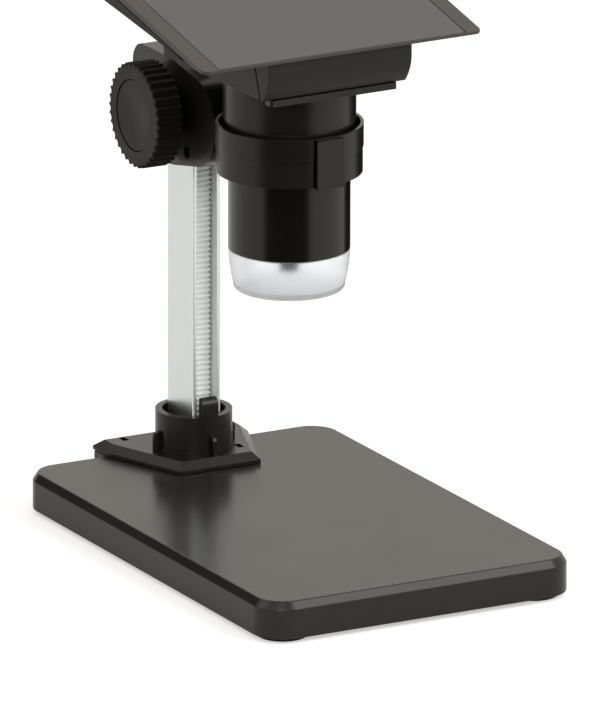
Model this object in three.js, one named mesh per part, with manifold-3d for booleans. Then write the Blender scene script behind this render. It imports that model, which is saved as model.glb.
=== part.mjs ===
// A digital microscope on a desk stand. A flat ballasted base carries an aluminium column with a
// toothed rack in its front channel. A moulded carriage climbs the rack by a pinion that two fluted
// knobs turn, and its split ring holds the microscope: a round barrel with a frosted light cap below,
// and a head with a tilted screen above.
//
// Millimetres, +Z up, the viewer at -Y. The origin lies on the table, under the middle of the
// outline that the base and the overhanging column foot make together.

import * as THREE from 'three';
import { mergeVertices } from 'three/addons/utils/BufferGeometryUtils.js';
import { ConvexGeometry } from 'three/addons/geometries/ConvexGeometry.js';
import Module from 'manifold-3d';

const wasm = await Module();
wasm.setup();

// Driving dimensions

// Space left between two pieces that touch, and how far a cut runs past the face that it opens.
const gap = 0.3;
const overrun = 1;

const base = {
  width: 129.1,
  depth: 195,
  height: 14,
  cornerRadius: 12,
  chamferIn: 1.9,
  chamferDown: 3,
  wall: 2.6,
  bossInset: 13,
  bossRadius: 4.2,
  lugHalfWidth: 30,
  lugReach: 7.6,
};

const cover = { thickness: 3.4, footRecess: 0.8 };

const ballast = { width: 84, depth: 132, thickness: 4, forward: 14 };

const rubberFoot = { radius: 8.5, reach: 1.8, edge: 0.7 };

// Screws: shank radius, head radius, head height and length under the head.
const baseScrew = { radius: 1.5, headRadius: 2.9, headHeight: 1.4, length: 7.5 };
const carriageScrew = { radius: 1.4, headRadius: 2, headHeight: 1.8, length: 25 };
const columnBolt = { radius: 1.9, headRadius: 3.8, headHeight: 2.6, length: 20 };
const footScrew = { radius: 1.3, headRadius: 2.5, headHeight: 1.6, length: 5.6 };
const neckScrew = { radius: 1.2, headRadius: 2.1, headHeight: 1.3, length: 3.1 };
const knobScrew = { radius: 1.1, headRadius: 3, headHeight: 1.7, length: 8 };

const column = {
  width: 11.8,
  depth: 20.4,
  top: 190,
  setback: 15.9,
  channelWidth: 8.4,
  channelDepth: 8,
  edgeRadius: 0.6,
  boreRadius: 2.2,
  boreBehind: 4,
  capHeight: 2.6,
  capPlug: 7,
};

// The moulded foot of the column: a six-sided bevelled plate with a collar, four ribs and a tongue.
const foot = {
  frontHalfWidth: 17,
  rearHalfWidth: 30.2,
  front: 21.6,
  shoulder: 13.4,
  rear: 24,
  height: 4.3,
  sideHeight: 1.6,
  bevelIn: 3.3,
  floor: 2,
  collarRadius: 14.3,
  collarTop: 18.7,
  ribReach: 17.1,
  ribThickness: 1.5,
  ribTop: 11.3,
  ribRound: 2,
  tongueWidth: 6.7,
  tongueThickness: 2.9,
  tongueTop: 25.5,
  tongueRound: 2.8,
  slotWidth: 2.4,
  slotLength: 4.6,
  slotShift: 2.1,
  slotSide: 22.3,
  slotBehind: 18,
  slotFrontSide: 11.9,
  slotFront: 9.7,
  screwSide: 20,
  screwBehind: 6,
};

// Rack and pinion share the pitch. A tooth is thinned by the backlash on each flank.
const gear = {
  pitch: 2,
  teeth: 22,
  addendum: 0.6,
  dedendum: 0.75,
  backlash: 0.1,
  flankAngle: 20,
  width: 7.4,
  flankSteps: 2,
};

const carriage = {
  height: 139.5,
  halfWidth: 17,
  pinionForward: 12.6,
  bigRadius: 20.4,
  frontRadius: 17,
  frontForward: 31.2,
  frontRise: 0.4,
  rear: 16.7,
  rearRadius: 8,
  bossRadius: 9,
  bossReach: 21.2,
  screwForward: 26.2,
  screwDrop: 12.8,
  rearScrewBehind: 14.4,
  rearScrewHeight: 11,
  counterboreRadius: 2.4,
  counterboreDepth: 3.4,
  pinionRoom: 0.7,
};

const liner = { width: 9, height: 32, thickness: 1.2 };

const shaft = { radius: 2, halfLength: 26.8, bushWall: 1.2, bushStart: 9.3 };

const knob = {
  radius: 20,
  thickness: 10.6,
  outerFace: 32.2,
  flutes: 36,
  fluteDepth: 1.3,
  flutePoints: 3,
  edge: 0.5,
  capRadius: 13.65,
  capSeat: 1.6,
  capDish: 0.7,
  screwSeat: 3.7,
  hubRadius: 5.4,
  rimInner: 16.2,
  backDepth: 4,
};

// The split ring that holds the barrel: a thin upper band, a thicker lower band and a flat tab.
const ring = {
  reach: 74.75,
  radius: 27.4,
  lowerRadius: 27.1,
  wall: 1.2,
  below: 9.4,
  lowerBand: 9.9,
  upperBand: 8.6,
  splitAngle: -8.4,
  splitWidth: 1,
  tabAngle: 3.6,
  tabWidth: 11.6,
  tabFace: 28.7,
  tabDrop: 0.5,
  tangWidth: 11,
  tangHeight: 14,
  tangLength: 11.5,
  pegRadius: 1.9,
};

// Barrel, from the ledge in the ring that its flange rests on.
const barrel = {
  radius: 22.6,
  boreRadius: 19.2,
  flangeRadius: 25.7,
  flangeThickness: 2.5,
  seatRadius: 24.2,
  neckRadius: 24.6,
  neckStart: 10.8,
  neckHeight: 15.5,
  plateThickness: 1,
  plateHalfWidth: 25.6,
  plateFront: 33.6,
  plateRear: 30,
  plateCorner: 3,
  screwInset: 5.4,
  seam: 7.5,
};

const sleeve = { bottom: 38.65, wall: 2.15, spigotWall: 1.9, spigotTop: 6, shoulder: 3 };

const lightCap = {
  bottom: 54,
  floor: 2.3,
  topRadius: 22.5,
  bottomRadius: 20.7,
  edgeRound: 1.7,
  spigot: 2.3,
  spigotWall: 1.2,
  innerBottom: 18.2,
};

const ledBoard = {
  thickness: 1.6,
  above: 2.4,
  holeRadius: 4.8,
  leds: 8,
  ledRadius: 1.5,
  ledHeight: 1.2,
  ledCircle: 12.5,
};

const lens = {
  tubeRadius: 3.6,
  tubeWall: 1.4,
  tip: 47.6,
  shoulderDrop: 33.4,
  bodyRadius: 6,
  bodyWall: 1.5,
  discBottom: 5,
  discTop: 3,
  seatDepth: 1.6,
  seatWall: 0.7,
  thickness: 1.1,
};

// Head: a narrow hull under a wide screen housing whose top leans back. As photographed, the whole
// microscope is turned in its ring by a small angle.
const head = {
  turn: 1.9,
  tilt: 13.3,
  frontReach: 39.2,
  frontTop: 44.3,
  width: 118,
  length: 90,
  cornerRadius: 2.5,
  hullHalfWidth: 30.3,
  hullRear: 42.5,
  hullCorner: 3,
  hullEdge: 0.8,
  wall: 1.8,
  floorWall: 1,
  edgeThickness: 1.2,
  sideSlope: 0.08,
  bellySlope: 0.5,
  seamWidth: 0.8,
  seamFoot: 30.1,
  seamLean: 0.32,
  coverSetback: 2.3,
  coverRise: 0.2,
  coverCurveTop: 38.5,
  coverFoot: 32.4,
};

// The bezel's borders round the glass, and the glass's borders round the window under it.
const bezel = {
  thickness: 2,
  frontBorder: 0.5,
  sideBorder: 6.9,
  keyStrip: 16.2,
  glassThickness: 0.6,
  glassDrop: 0.05,
  glassCorner: 1,
  windowSide: 3.8,
  windowFront: 20.7,
  windowRear: 0.8,
};

// How far the panel reaches past the window on each side.
const screen = { sideRim: 3, frontRim: 0.9, rearRim: 1, thickness: 2 };

const button = {
  count: 6,
  spacing: 15,
  width: 8.4,
  length: 5.4,
  corner: 1.8,
  proud: 0.8,
  flange: 0.9,
  flangeThickness: 1,
  stem: 1.2,
  stemRadius: 1.5,
  fromRear: 8,
  play: 0.9,
};

const board = { width: 86, length: 41, fromRear: 4.6, thickness: 1.6, depth: 6.6, switchSize: 6 };

const battery = { width: 50, length: 56, thickness: 7, forward: 22, lift: 2.6, postRadius: 2.2 };

const sensor = { size: 40, thickness: 1.6, chip: 11, chipHeight: 1.2 };

const usb = { width: 7.6, height: 2.7, depth: 5.6, behind: -6, above: 12 };
const cardSlot = { width: 14, height: 1.8, depth: 12, behind: 16, above: 12 };

// Places worked out from the driving dimensions

const footOverhang = foot.rear - column.setback;
const baseTop = rubberFoot.reach + base.height;
const columnY = base.depth / 2 - column.setback;
const columnBottom = gap + foot.floor + gap;
const pitchRadius = (gear.pitch * gear.teeth) / (2 * Math.PI);
const rackPitchLine = carriage.pinionForward - pitchRadius;
const ledge = ring.lowerBand - ring.below;
const ringTop = ledge + ring.upperBand;
const neckTop = barrel.neckStart + barrel.neckHeight;
const hullBottom = neckTop + barrel.plateThickness + gap;
const tiltAngle = THREE.MathUtils.degToRad(head.tilt);
const rise = Math.tan(tiltAngle);
const hullFloor = hullBottom + head.wall;
const knobScrewSeat = knob.outerFace - knob.screwSeat + gap;
const glassWidth = head.width - 2 * bezel.sideBorder;
const glassStart = bezel.frontBorder + gap;
const glassLength = head.length - bezel.keyStrip - glassStart;
const windowWidth = glassWidth - 2 * bezel.windowSide;
const windowStart = glassStart + bezel.windowFront;
const windowEnd = glassStart + glassLength - bezel.windowRear;
const keyRow = head.length - button.fromRear;

// Solids

// Turns a closed geometry into a solid, after a move, a turn or both.
function solid(geometry, matrix = new THREE.Matrix4()) {
  const bare = geometry.index ? geometry.toNonIndexed() : geometry.clone();
  for (const name of Object.keys(bare.attributes)) {
    if (name !== 'position') {
      bare.deleteAttribute(name);
    }
  }
  const merged = mergeVertices(bare.applyMatrix4(matrix), 1e-4);
  const vertProperties = Float32Array.from(merged.attributes.position.array);
  const triVerts = Uint32Array.from(merged.index.array);
  return new wasm.Manifold(new wasm.Mesh({ numProp: 3, vertProperties, triVerts }));
}

function geometryOf(body) {
  const mesh = body.getMesh();
  const geometry = new THREE.BufferGeometry();
  geometry.setAttribute('position', new THREE.BufferAttribute(mesh.vertProperties, 3));
  geometry.setIndex(new THREE.BufferAttribute(mesh.triVerts, 1));
  geometry.computeVertexNormals();
  return geometry;
}

const join = (...bodies) => bodies.reduce((sum, body) => sum.add(body));
const cut = (body, ...tools) => tools.reduce((rest, tool) => rest.subtract(tool), body);

const shifted = (x, y, z) => new THREE.Matrix4().makeTranslation(x, y, z);
const turnedZ = (degrees) => new THREE.Matrix4().makeRotationZ(THREE.MathUtils.degToRad(degrees));

// Carries an outline's (across, up, along) to the part's (Y, Z, X).
const alongX = new THREE.Matrix4().makeBasis(
  new THREE.Vector3(0, 1, 0),
  new THREE.Vector3(0, 0, 1),
  new THREE.Vector3(1, 0, 0),
);

// A box between two limits on each axis.
function block([x0, x1], [y0, y1], [z0, z1]) {
  const geometry = new THREE.BoxGeometry(x1 - x0, y1 - y0, z1 - z0);
  return solid(geometry, shifted((x0 + x1) / 2, (y0 + y1) / 2, (z0 + z1) / 2));
}

// An upright round bar between two heights.
function pillar(radius, z0, z1, x = 0, y = 0, sides = 20) {
  const geometry = new THREE.CylinderGeometry(radius, radius, z1 - z0, sides);
  geometry.rotateX(Math.PI / 2);
  return solid(geometry, shifted(x, y, (z0 + z1) / 2));
}

// A round bar along X.
function axle(radius, x0, x1, y = 0, z = 0, sides = 20) {
  const geometry = new THREE.CylinderGeometry(radius, radius, x1 - x0, sides);
  geometry.rotateZ(-Math.PI / 2);
  return solid(geometry, shifted((x0 + x1) / 2, y, z));
}

// A flat outline in X and Y drawn up between two heights.
function prism(shape, z0, z1, curveSegments = 6) {
  const settings = { depth: z1 - z0, bevelEnabled: false, curveSegments };
  return solid(new THREE.ExtrudeGeometry(shape, settings), shifted(0, 0, z0));
}

// A side outline in Y and Z drawn across between two places on X.
function sidePrism(shape, x0, x1, curveSegments = 6) {
  const settings = { depth: x1 - x0, bevelEnabled: false, curveSegments };
  const geometry = new THREE.ExtrudeGeometry(shape, settings).applyMatrix4(alongX);
  return solid(geometry, shifted(x0, 0, 0));
}

// A profile of [radius, height] points turned about Z. It closes on itself or ends on the axis.
function revolve(profile, segments = 32) {
  const points = profile.map(([radius, height]) => new THREE.Vector2(radius, height));
  const geometry = new THREE.LatheGeometry(points, segments);
  geometry.rotateX(Math.PI / 2);
  return solid(geometry);
}

// A stack of outlines with equal point counts, each at its own height, joined and capped.
function loft(sections) {
  const count = sections[0].points.length;
  const last = (sections.length - 1) * count;
  const positions = sections.flatMap(({ z, points }) => points.flatMap((p) => [p.x, p.y, z]));
  const index = [];
  for (let level = 0; level < sections.length - 1; level += 1) {
    for (let i = 0; i < count; i += 1) {
      const a = level * count + i;
      const b = level * count + ((i + 1) % count);
      index.push(a, b, b + count, a, b + count, a + count);
    }
  }
  for (const [a, b, c] of THREE.ShapeUtils.triangulateShape(sections[0].points, [])) {
    index.push(a, c, b, last + a, last + b, last + c);
  }
  const geometry = new THREE.BufferGeometry();
  geometry.setAttribute('position', new THREE.Float32BufferAttribute(positions, 3));
  geometry.setIndex(index);
  return geometry;
}

// Outlines

const outline = (pairs) => new THREE.Shape(pairs.map(([x, y]) => new THREE.Vector2(x, y)));

// A rectangle with round corners, counter-clockwise, about a centre.
function roundedRectangle(width, depth, radius, x = 0, y = 0) {
  const shape = new THREE.Shape();
  const right = x + width / 2 - radius;
  const left = x - width / 2 + radius;
  const back = y + depth / 2 - radius;
  const front = y - depth / 2 + radius;
  shape.absarc(right, front, radius, -Math.PI / 2, 0);
  shape.absarc(right, back, radius, 0, Math.PI / 2);
  shape.absarc(left, back, radius, Math.PI / 2, Math.PI);
  shape.absarc(left, front, radius, Math.PI, 1.5 * Math.PI);
  return shape;
}

// Outline points of a closed shape, without the last point where it repeats the first.
function ringPoints(shape, divisions = 4) {
  const points = shape.getPoints(divisions);
  const repeats = points[0].distanceTo(points[points.length - 1]) < 1e-6;
  return repeats ? points.slice(0, -1) : points;
}

// Moves each edge of a counter-clockwise convex outline inwards by the same distance.
function insetOutline(pairs, inset) {
  const lines = pairs.map(([x, y], i) => {
    const [nextX, nextY] = pairs[(i + 1) % pairs.length];
    const along = new THREE.Vector2(nextX - x, nextY - y).normalize();
    const inward = new THREE.Vector2(-along.y, along.x);
    return { start: new THREE.Vector2(x, y).addScaledVector(inward, inset), along };
  });
  return lines.map((line, i) => {
    const before = lines[(i + lines.length - 1) % lines.length];
    const apart = line.start.clone().sub(before.start);
    const travel = apart.cross(line.along) / before.along.cross(line.along);
    return before.start.clone().addScaledVector(before.along, travel);
  });
}

// The tight band round a set of circles, each given by its centre and radius.
function bandAround(circles, steps = 28) {
  const points = [];
  for (const { y, z, radius } of circles) {
    for (let i = 0; i < steps; i += 1) {
      const angle = (2 * Math.PI * i) / steps;
      points.push(new THREE.Vector2(y + radius * Math.cos(angle), z + radius * Math.sin(angle)));
    }
  }
  points.sort((a, b) => a.x - b.x || a.y - b.y);
  const halfHull = (ordered) => {
    const hull = [];
    for (const point of ordered) {
      while (hull.length > 1) {
        const [first, second] = hull.slice(-2);
        const turn = second.clone().sub(first).cross(point.clone().sub(second));
        if (turn > 1e-9) {
          break;
        }
        hull.pop();
      }
      hull.push(point);
    }
    return hull.slice(0, -1);
  };
  return new THREE.Shape([...halfHull(points), ...halfHull([...points].reverse())]);
}

// Materials

function finish(color, roughness, metalness = 0, extra = {}) {
  return new THREE.MeshStandardMaterial({ color, roughness, metalness, ...extra });
}

const clear = { transparent: true, opacity: 0.75 };
const mattBlack = finish(0x2b2a29, 0.55);
const glossBlack = finish(0x141412, 0.25);
const greyBlack = finish(0x3c3b3a, 0.6);
const aluminium = finish(0xd8d9d4, 0.35, 1);
const steel = finish(0x9a9a98, 0.35, 1);
const brass = finish(0xb58b4a, 0.4, 1);
const rubber = finish(0x1c1c1c, 0.9);
const nylon = finish(0xe9e6dc, 0.6);
const frosted = finish(0xeaebe6, 0.45, 0, clear);
const opticalGlass = finish(0xdfe8ea, 0.05, 0, clear);
const screenGlass = finish(0x6b6b6b, 0.12);
const circuitGreen = finish(0x1f5a3a, 0.6);
const foil = finish(0xaab0b4, 0.4, 0.3);

// Scene graph

const microscope = new THREE.Group();
const stand = new THREE.Group();
const columnFrame = new THREE.Group();
const carriageFrame = new THREE.Group();
const knobFrame = new THREE.Group();
const scopeFrame = new THREE.Group();
const screenFrame = new THREE.Group();
microscope.add(stand);
stand.add(columnFrame);
columnFrame.add(carriageFrame);
carriageFrame.add(knobFrame, scopeFrame);
scopeFrame.add(screenFrame);
stand.position.y = -footOverhang / 2;
columnFrame.position.set(0, columnY, baseTop);
carriageFrame.position.z = carriage.height;
knobFrame.position.y = -carriage.pinionForward;
scopeFrame.position.set(0, -ring.reach, ledge);
scopeFrame.rotation.z = THREE.MathUtils.degToRad(head.turn);
screenFrame.position.set(0, -head.frontReach, head.frontTop);
screenFrame.rotation.x = tiltAngle;

function place(name, body, material, parent, position = [0, 0, 0], rotation = [0, 0, 0]) {
  const mesh = new THREE.Mesh(geometryOf(body), material);
  mesh.name = name;
  mesh.position.set(...position);
  mesh.rotation.set(...rotation);
  parent.add(mesh);
  return mesh;
}

// A screw along Z: the head's seat lies at zero, the head below it and the shank above.
function screwBody({ radius, headRadius, headHeight, length }) {
  const socket = headRadius / 2;
  return cut(
    join(pillar(headRadius, -headHeight, 0, 0, 0, 8), pillar(radius, -headHeight / 2, length, 0, 0, 6)),
    pillar(socket, -headHeight - overrun, -headHeight / 2, 0, 0, 6),
  );
}

// Base

const baseOutline = (inset) => roundedRectangle(
  base.width - 2 * inset,
  base.depth - 2 * inset,
  base.cornerRadius - inset,
);

const bossX = base.width / 2 - base.bossInset;
const bossY = base.depth / 2 - base.bossInset;
const corners = [
  { name: 'front_left', x: -bossX, y: -bossY },
  { name: 'front_right', x: bossX, y: -bossY },
  { name: 'rear_left', x: -bossX, y: bossY },
  { name: 'rear_right', x: bossX, y: bossY },
];

const footScrewX = [-foot.screwSide, foot.screwSide];

function baseShell() {
  const ceiling = base.height - base.wall;
  const edge = base.depth / 2;
  const outer = loft([
    { z: 0, points: ringPoints(baseOutline(0)) },
    { z: base.height - base.chamferDown, points: ringPoints(baseOutline(0)) },
    { z: base.height, points: ringPoints(baseOutline(base.chamferIn)) },
  ]);
  const lug = block(
    [-base.lugHalfWidth, base.lugHalfWidth],
    [edge - base.cornerRadius, edge + base.lugReach],
    [0, base.height],
  );
  const lugHollow = block(
    [base.wall - base.lugHalfWidth, base.lugHalfWidth - base.wall],
    [edge, edge + base.lugReach - base.wall],
    [-overrun, ceiling],
  );
  const hollow = prism(baseOutline(base.wall), -overrun, ceiling, 3);
  let body = cut(join(solid(outer), lug), hollow, lugHollow);
  for (const { x, y } of corners) {
    body = join(body, pillar(base.bossRadius, cover.thickness + gap, base.height - base.wall / 2, x, y, 12));
    body = cut(body, pillar(baseScrew.radius + gap, 0, ceiling, x, y, 8));
  }
  const boltRadius = columnBolt.radius + gap;
  const boltY = columnY + column.boreBehind;
  body = cut(body, pillar(boltRadius, ceiling - overrun, base.height + overrun, 0, boltY, 12));
  for (const x of footScrewX) {
    const y = columnY + foot.screwBehind;
    body = cut(body, pillar(footScrew.radius + gap, ceiling - overrun, base.height + overrun, x, y, 8));
  }
  return body;
}

function baseCover() {
  let body = prism(baseOutline(base.wall + gap), 0, cover.thickness, 3);
  const headSeat = cover.footRecess + baseScrew.headHeight + gap;
  for (const { x, y } of corners) {
    body = cut(
      body,
      pillar(rubberFoot.radius + gap, -overrun, cover.footRecess, x, y, 20),
      pillar(baseScrew.headRadius + gap, -overrun, headSeat, x, y, 10),
      pillar(baseScrew.radius + gap, -overrun, cover.thickness + overrun, x, y, 8),
    );
  }
  return body;
}

function rubberFootBody() {
  const top = rubberFoot.reach + cover.footRecess - gap;
  return revolve([
    [0, 0],
    [rubberFoot.radius - rubberFoot.edge, 0],
    [rubberFoot.radius, rubberFoot.edge],
    [rubberFoot.radius, top],
    [0, top],
  ], 20);
}

const shellMesh = place('base_shell', baseShell(), mattBlack, stand, [0, 0, rubberFoot.reach]);
shellMesh.receiveShadow = true;
place('base_cover', baseCover(), greyBlack, stand, [0, 0, rubberFoot.reach]);
place(
  'ballast_plate',
  prism(roundedRectangle(ballast.width, ballast.depth, base.cornerRadius / 2), 0, ballast.thickness, 2),
  steel,
  stand,
  [0, -ballast.forward, rubberFoot.reach + cover.thickness + gap],
);
for (const { name, x, y } of corners) {
  place(`rubber_foot_${name}`, rubberFootBody(), rubber, stand, [x, y, 0]);
  const seat = rubberFoot.reach + cover.footRecess + baseScrew.headHeight;
  place(`base_screw_${name}`, screwBody(baseScrew), steel, stand, [x, y, seat]);
}

// Column and its foot

// The plate's outline at its underside, counter-clockwise seen from above, the front at -Y.
const footPairs = [
  [foot.frontHalfWidth, -foot.front],
  [foot.rearHalfWidth, foot.shoulder],
  [foot.rearHalfWidth, foot.rear],
  [-foot.rearHalfWidth, foot.rear],
  [-foot.rearHalfWidth, foot.shoulder],
  [-foot.frontHalfWidth, -foot.front],
];

function footRib(quarter) {
  const inside = foot.collarRadius - overrun;
  const shape = new THREE.Shape();
  shape.moveTo(inside, foot.height / 2);
  shape.lineTo(foot.ribReach, foot.height / 2);
  shape.absarc(foot.ribReach - foot.ribRound, foot.ribTop - foot.ribRound, foot.ribRound, 0, Math.PI / 2);
  shape.lineTo(inside, foot.ribTop);
  const half = foot.ribThickness / 2;
  const rib = sidePrism(shape, -half, half, 3);
  return rib.transform(turnedZ(quarter * 90).elements);
}

function columnFoot() {
  const under = footPairs.map(([x, y]) => new THREE.Vector2(x, y));
  const plate = loft([
    { z: gap, points: under },
    { z: foot.sideHeight, points: under },
    { z: foot.height, points: insetOutline(footPairs, foot.bevelIn) },
  ]);
  const tongueBack = -(column.depth / 2 + gap);
  const tongueFront = tongueBack - foot.tongueThickness;
  const tongueShape = new THREE.Shape();
  tongueShape.moveTo(tongueBack, foot.height);
  tongueShape.lineTo(tongueBack, foot.tongueTop);
  tongueShape.absarc(
    tongueFront + foot.tongueRound,
    foot.tongueTop - foot.tongueRound,
    foot.tongueRound,
    Math.PI / 2,
    Math.PI,
  );
  tongueShape.lineTo(tongueFront, foot.height);
  let body = join(
    solid(plate),
    pillar(foot.collarRadius, gap, foot.collarTop, 0, 0, 36),
    sidePrism(tongueShape, -foot.tongueWidth / 2, foot.tongueWidth / 2, 4),
  );
  for (let quarter = 0; quarter < 4; quarter += 1) {
    body = join(body, footRib(quarter));
  }
  const halfWidth = column.width / 2 + gap;
  const halfDepth = column.depth / 2 + gap;
  const socketFloor = gap + foot.floor;
  body = cut(
    body,
    block([-halfWidth, halfWidth], [-halfDepth, halfDepth], [socketFloor, foot.tongueTop + overrun]),
    pillar(columnBolt.radius + gap, -overrun, foot.height, 0, column.boreBehind, 16),
  );
  const slots = [
    [foot.slotShift + foot.slotSide, foot.slotBehind],
    [foot.slotShift - foot.slotSide, foot.slotBehind],
    [foot.slotShift + foot.slotFrontSide, -foot.slotFront],
    [foot.slotShift - foot.slotFrontSide, -foot.slotFront],
  ];
  for (const [x, y] of slots) {
    const acrossX = [x - foot.slotWidth / 2, x + foot.slotWidth / 2];
    const acrossY = [y - foot.slotLength / 2, y + foot.slotLength / 2];
    body = cut(body, block(acrossX, acrossY, [foot.sideHeight, foot.height + overrun]));
  }
  for (const x of footScrewX) {
    body = cut(body, pillar(footScrew.radius + gap, -overrun, foot.height - gap, x, foot.screwBehind, 12));
  }
  return body;
}

function columnBar() {
  const shape = roundedRectangle(column.width, column.depth, column.edgeRadius);
  const bar = prism(shape, columnBottom, column.top, 1);
  const half = column.channelWidth / 2;
  const front = -column.depth / 2;
  return cut(
    bar,
    block(
      [-half, half],
      [front - overrun, front + column.channelDepth],
      [columnBottom - overrun, column.top + overrun],
    ),
    pillar(column.boreRadius, columnBottom - overrun, column.top + overrun, 0, column.boreBehind, 16),
  );
}

// The rack's side outline: a strip with straight-flanked teeth that look forward. One tooth lies at
// the height of the pinion's axis while the carriage is in its drawn place.
function rackStrip() {
  const flank = Math.tan(THREE.MathUtils.degToRad(gear.flankAngle));
  const halfAtPitch = gear.pitch / 4 - gear.backlash / 2;
  const tipHalf = halfAtPitch - gear.addendum * flank;
  const rootHalf = halfAtPitch + gear.dedendum * flank;
  const back = -(column.depth / 2 - column.channelDepth + gap);
  const root = -(rackPitchLine - gear.dedendum);
  const tip = -(rackPitchLine + gear.addendum);
  const pairs = [[back, columnBottom]];
  pairs.push([root, columnBottom]);
  const first = Math.ceil((columnBottom + gear.pitch - carriage.height) / gear.pitch);
  const last = Math.floor((column.top - gear.pitch - carriage.height) / gear.pitch);
  for (let i = first; i <= last; i += 1) {
    const z = carriage.height + i * gear.pitch;
    pairs.push([root, z - rootHalf], [tip, z - tipHalf], [tip, z + tipHalf], [root, z + rootHalf]);
  }
  pairs.push([root, column.top], [back, column.top]);
  const half = column.channelWidth / 2 - gap;
  return sidePrism(outline(pairs.reverse()), -half, half);
}

function columnCap() {
  const z = column.top + gap;
  const top = z + column.capHeight;
  const edge = column.edgeRadius;
  const rim = ringPoints(roundedRectangle(column.width, column.depth, 2 * edge), 1);
  const crown = ringPoints(
    roundedRectangle(column.width - 2 * edge, column.depth - 2 * edge, 2 * edge),
    1,
  );
  const lid = loft([
    { z, points: rim },
    { z: top - edge, points: rim },
    { z: top, points: crown },
  ]);
  const plug = pillar(column.boreRadius - gap, z - column.capPlug, z + edge, 0, column.boreBehind, 12);
  return join(solid(lid), plug);
}

place('column_foot', columnFoot(), mattBlack, columnFrame);
place('column', columnBar(), aluminium, columnFrame);
place('rack', rackStrip(), nylon, columnFrame);
place('column_cap', columnCap(), mattBlack, columnFrame);
const underTop = -base.wall - gap;
place('column_bolt', screwBody(columnBolt), steel, columnFrame, [0, column.boreBehind, underTop]);
['left', 'right'].forEach((side, i) => {
  const at = [footScrewX[i], foot.screwBehind, underTop];
  place(`foot_screw_${side}`, screwBody(footScrew), steel, columnFrame, at);
});

// Carriage

const carriageOutline = bandAround([
  { y: -carriage.pinionForward, z: 0, radius: carriage.bigRadius },
  { y: -carriage.frontForward, z: carriage.frontRise, radius: carriage.frontRadius },
  {
    y: carriage.rear - carriage.rearRadius,
    z: carriage.bigRadius - carriage.rearRadius,
    radius: carriage.rearRadius,
  },
  {
    y: carriage.rear - carriage.rearRadius,
    z: carriage.rearRadius - carriage.bigRadius,
    radius: carriage.rearRadius,
  },
]);

const carriageScrews = [
  { name: 'front', y: -carriage.screwForward, z: -carriage.screwDrop },
  { name: 'rear_upper', y: carriage.rearScrewBehind, z: carriage.rearScrewHeight },
  { name: 'rear_lower', y: carriage.rearScrewBehind, z: -carriage.rearScrewHeight },
];

const ringBack = ring.reach - ring.radius;
const tangBack = ringBack - ring.tangLength;
const tangMiddle = -ring.below + (ring.lowerBand + ring.upperBand) / 2;
const pegForward = (ringBack + tangBack) / 2;
const bushRadius = shaft.radius + gap + shaft.bushWall;

// One half of the carriage, on the side of X that the sign gives. The two meet on the middle plane.
function carriageHalf(sign) {
  const range = (a, b) => [Math.min(sign * a, sign * b), Math.max(sign * a, sign * b)];
  const through = [-carriage.bigRadius - overrun, carriage.bigRadius + overrun];
  const forward = -carriage.pinionForward;
  const pinionRadius = pitchRadius + gear.addendum + carriage.pinionRoom;
  const [x0, x1] = range(gap / 2, carriage.halfWidth);
  const [boss0, boss1] = range(carriage.halfWidth - overrun, carriage.bossReach);
  const [room0, room1] = range(-overrun, gear.width / 2 + carriage.pinionRoom);
  const [hole0, hole1] = range(-overrun, carriage.bossReach + overrun);
  const [bush0, bush1] = range(shaft.bushStart - gap, carriage.bossReach + overrun);
  const [peg0, peg1] = range(gap / 2, ring.tangWidth / 2 + overrun);
  const slotHalf = column.width / 2 + gap;
  const slotFront = -(column.depth / 2 + gap);
  const slotRear = column.depth / 2 + gap + liner.thickness + gap;
  const pocketHalf = ring.tangWidth / 2 + gap;
  let body = join(
    sidePrism(carriageOutline, x0, x1),
    axle(carriage.bossRadius, boss0, boss1, forward, 0, 24),
  );
  body = cut(
    body,
    block([-slotHalf, slotHalf], [slotFront, slotRear], through),
    axle(pinionRadius, room0, room1, forward, 0, 24),
    axle(shaft.radius + gap, hole0, hole1, forward, 0, 12),
    axle(bushRadius + gap, bush0, bush1, forward, 0, 16),
    pillar(ring.radius + gap, through[0], through[1], 0, -ring.reach, 72),
    block(
      [-pocketHalf, pocketHalf],
      [-ring.reach, -(tangBack - gap)],
      [tangMiddle - ring.tangHeight / 2 - gap, tangMiddle + ring.tangHeight / 2 + gap],
    ),
  );
  for (const { y, z } of carriageScrews) {
    const reach = sign < 0 ? carriage.halfWidth : carriageScrew.length / 2;
    const [drill0, drill1] = range(-overrun, reach);
    body = cut(body, axle(carriageScrew.radius + gap, drill0, drill1, y, z, 8));
    if (sign < 0) {
      const seat = carriage.halfWidth - carriage.counterboreDepth;
      const [bore0, bore1] = range(seat, carriage.halfWidth + overrun);
      body = cut(body, axle(carriage.counterboreRadius, bore0, bore1, y, z, 16));
    }
  }
  return join(body, axle(ring.pegRadius, peg0, peg1, -pegForward, tangMiddle, 12));
}

// A flat piece that stands on the ring's wall where the angle, counted from the front, points.
function ringBlock(angle, width, inner, outer, z0, z1) {
  const piece = block([-width / 2, width / 2], [-outer, -inner], [z0, z1]);
  return piece.transform(turnedZ(angle).elements);
}

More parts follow.
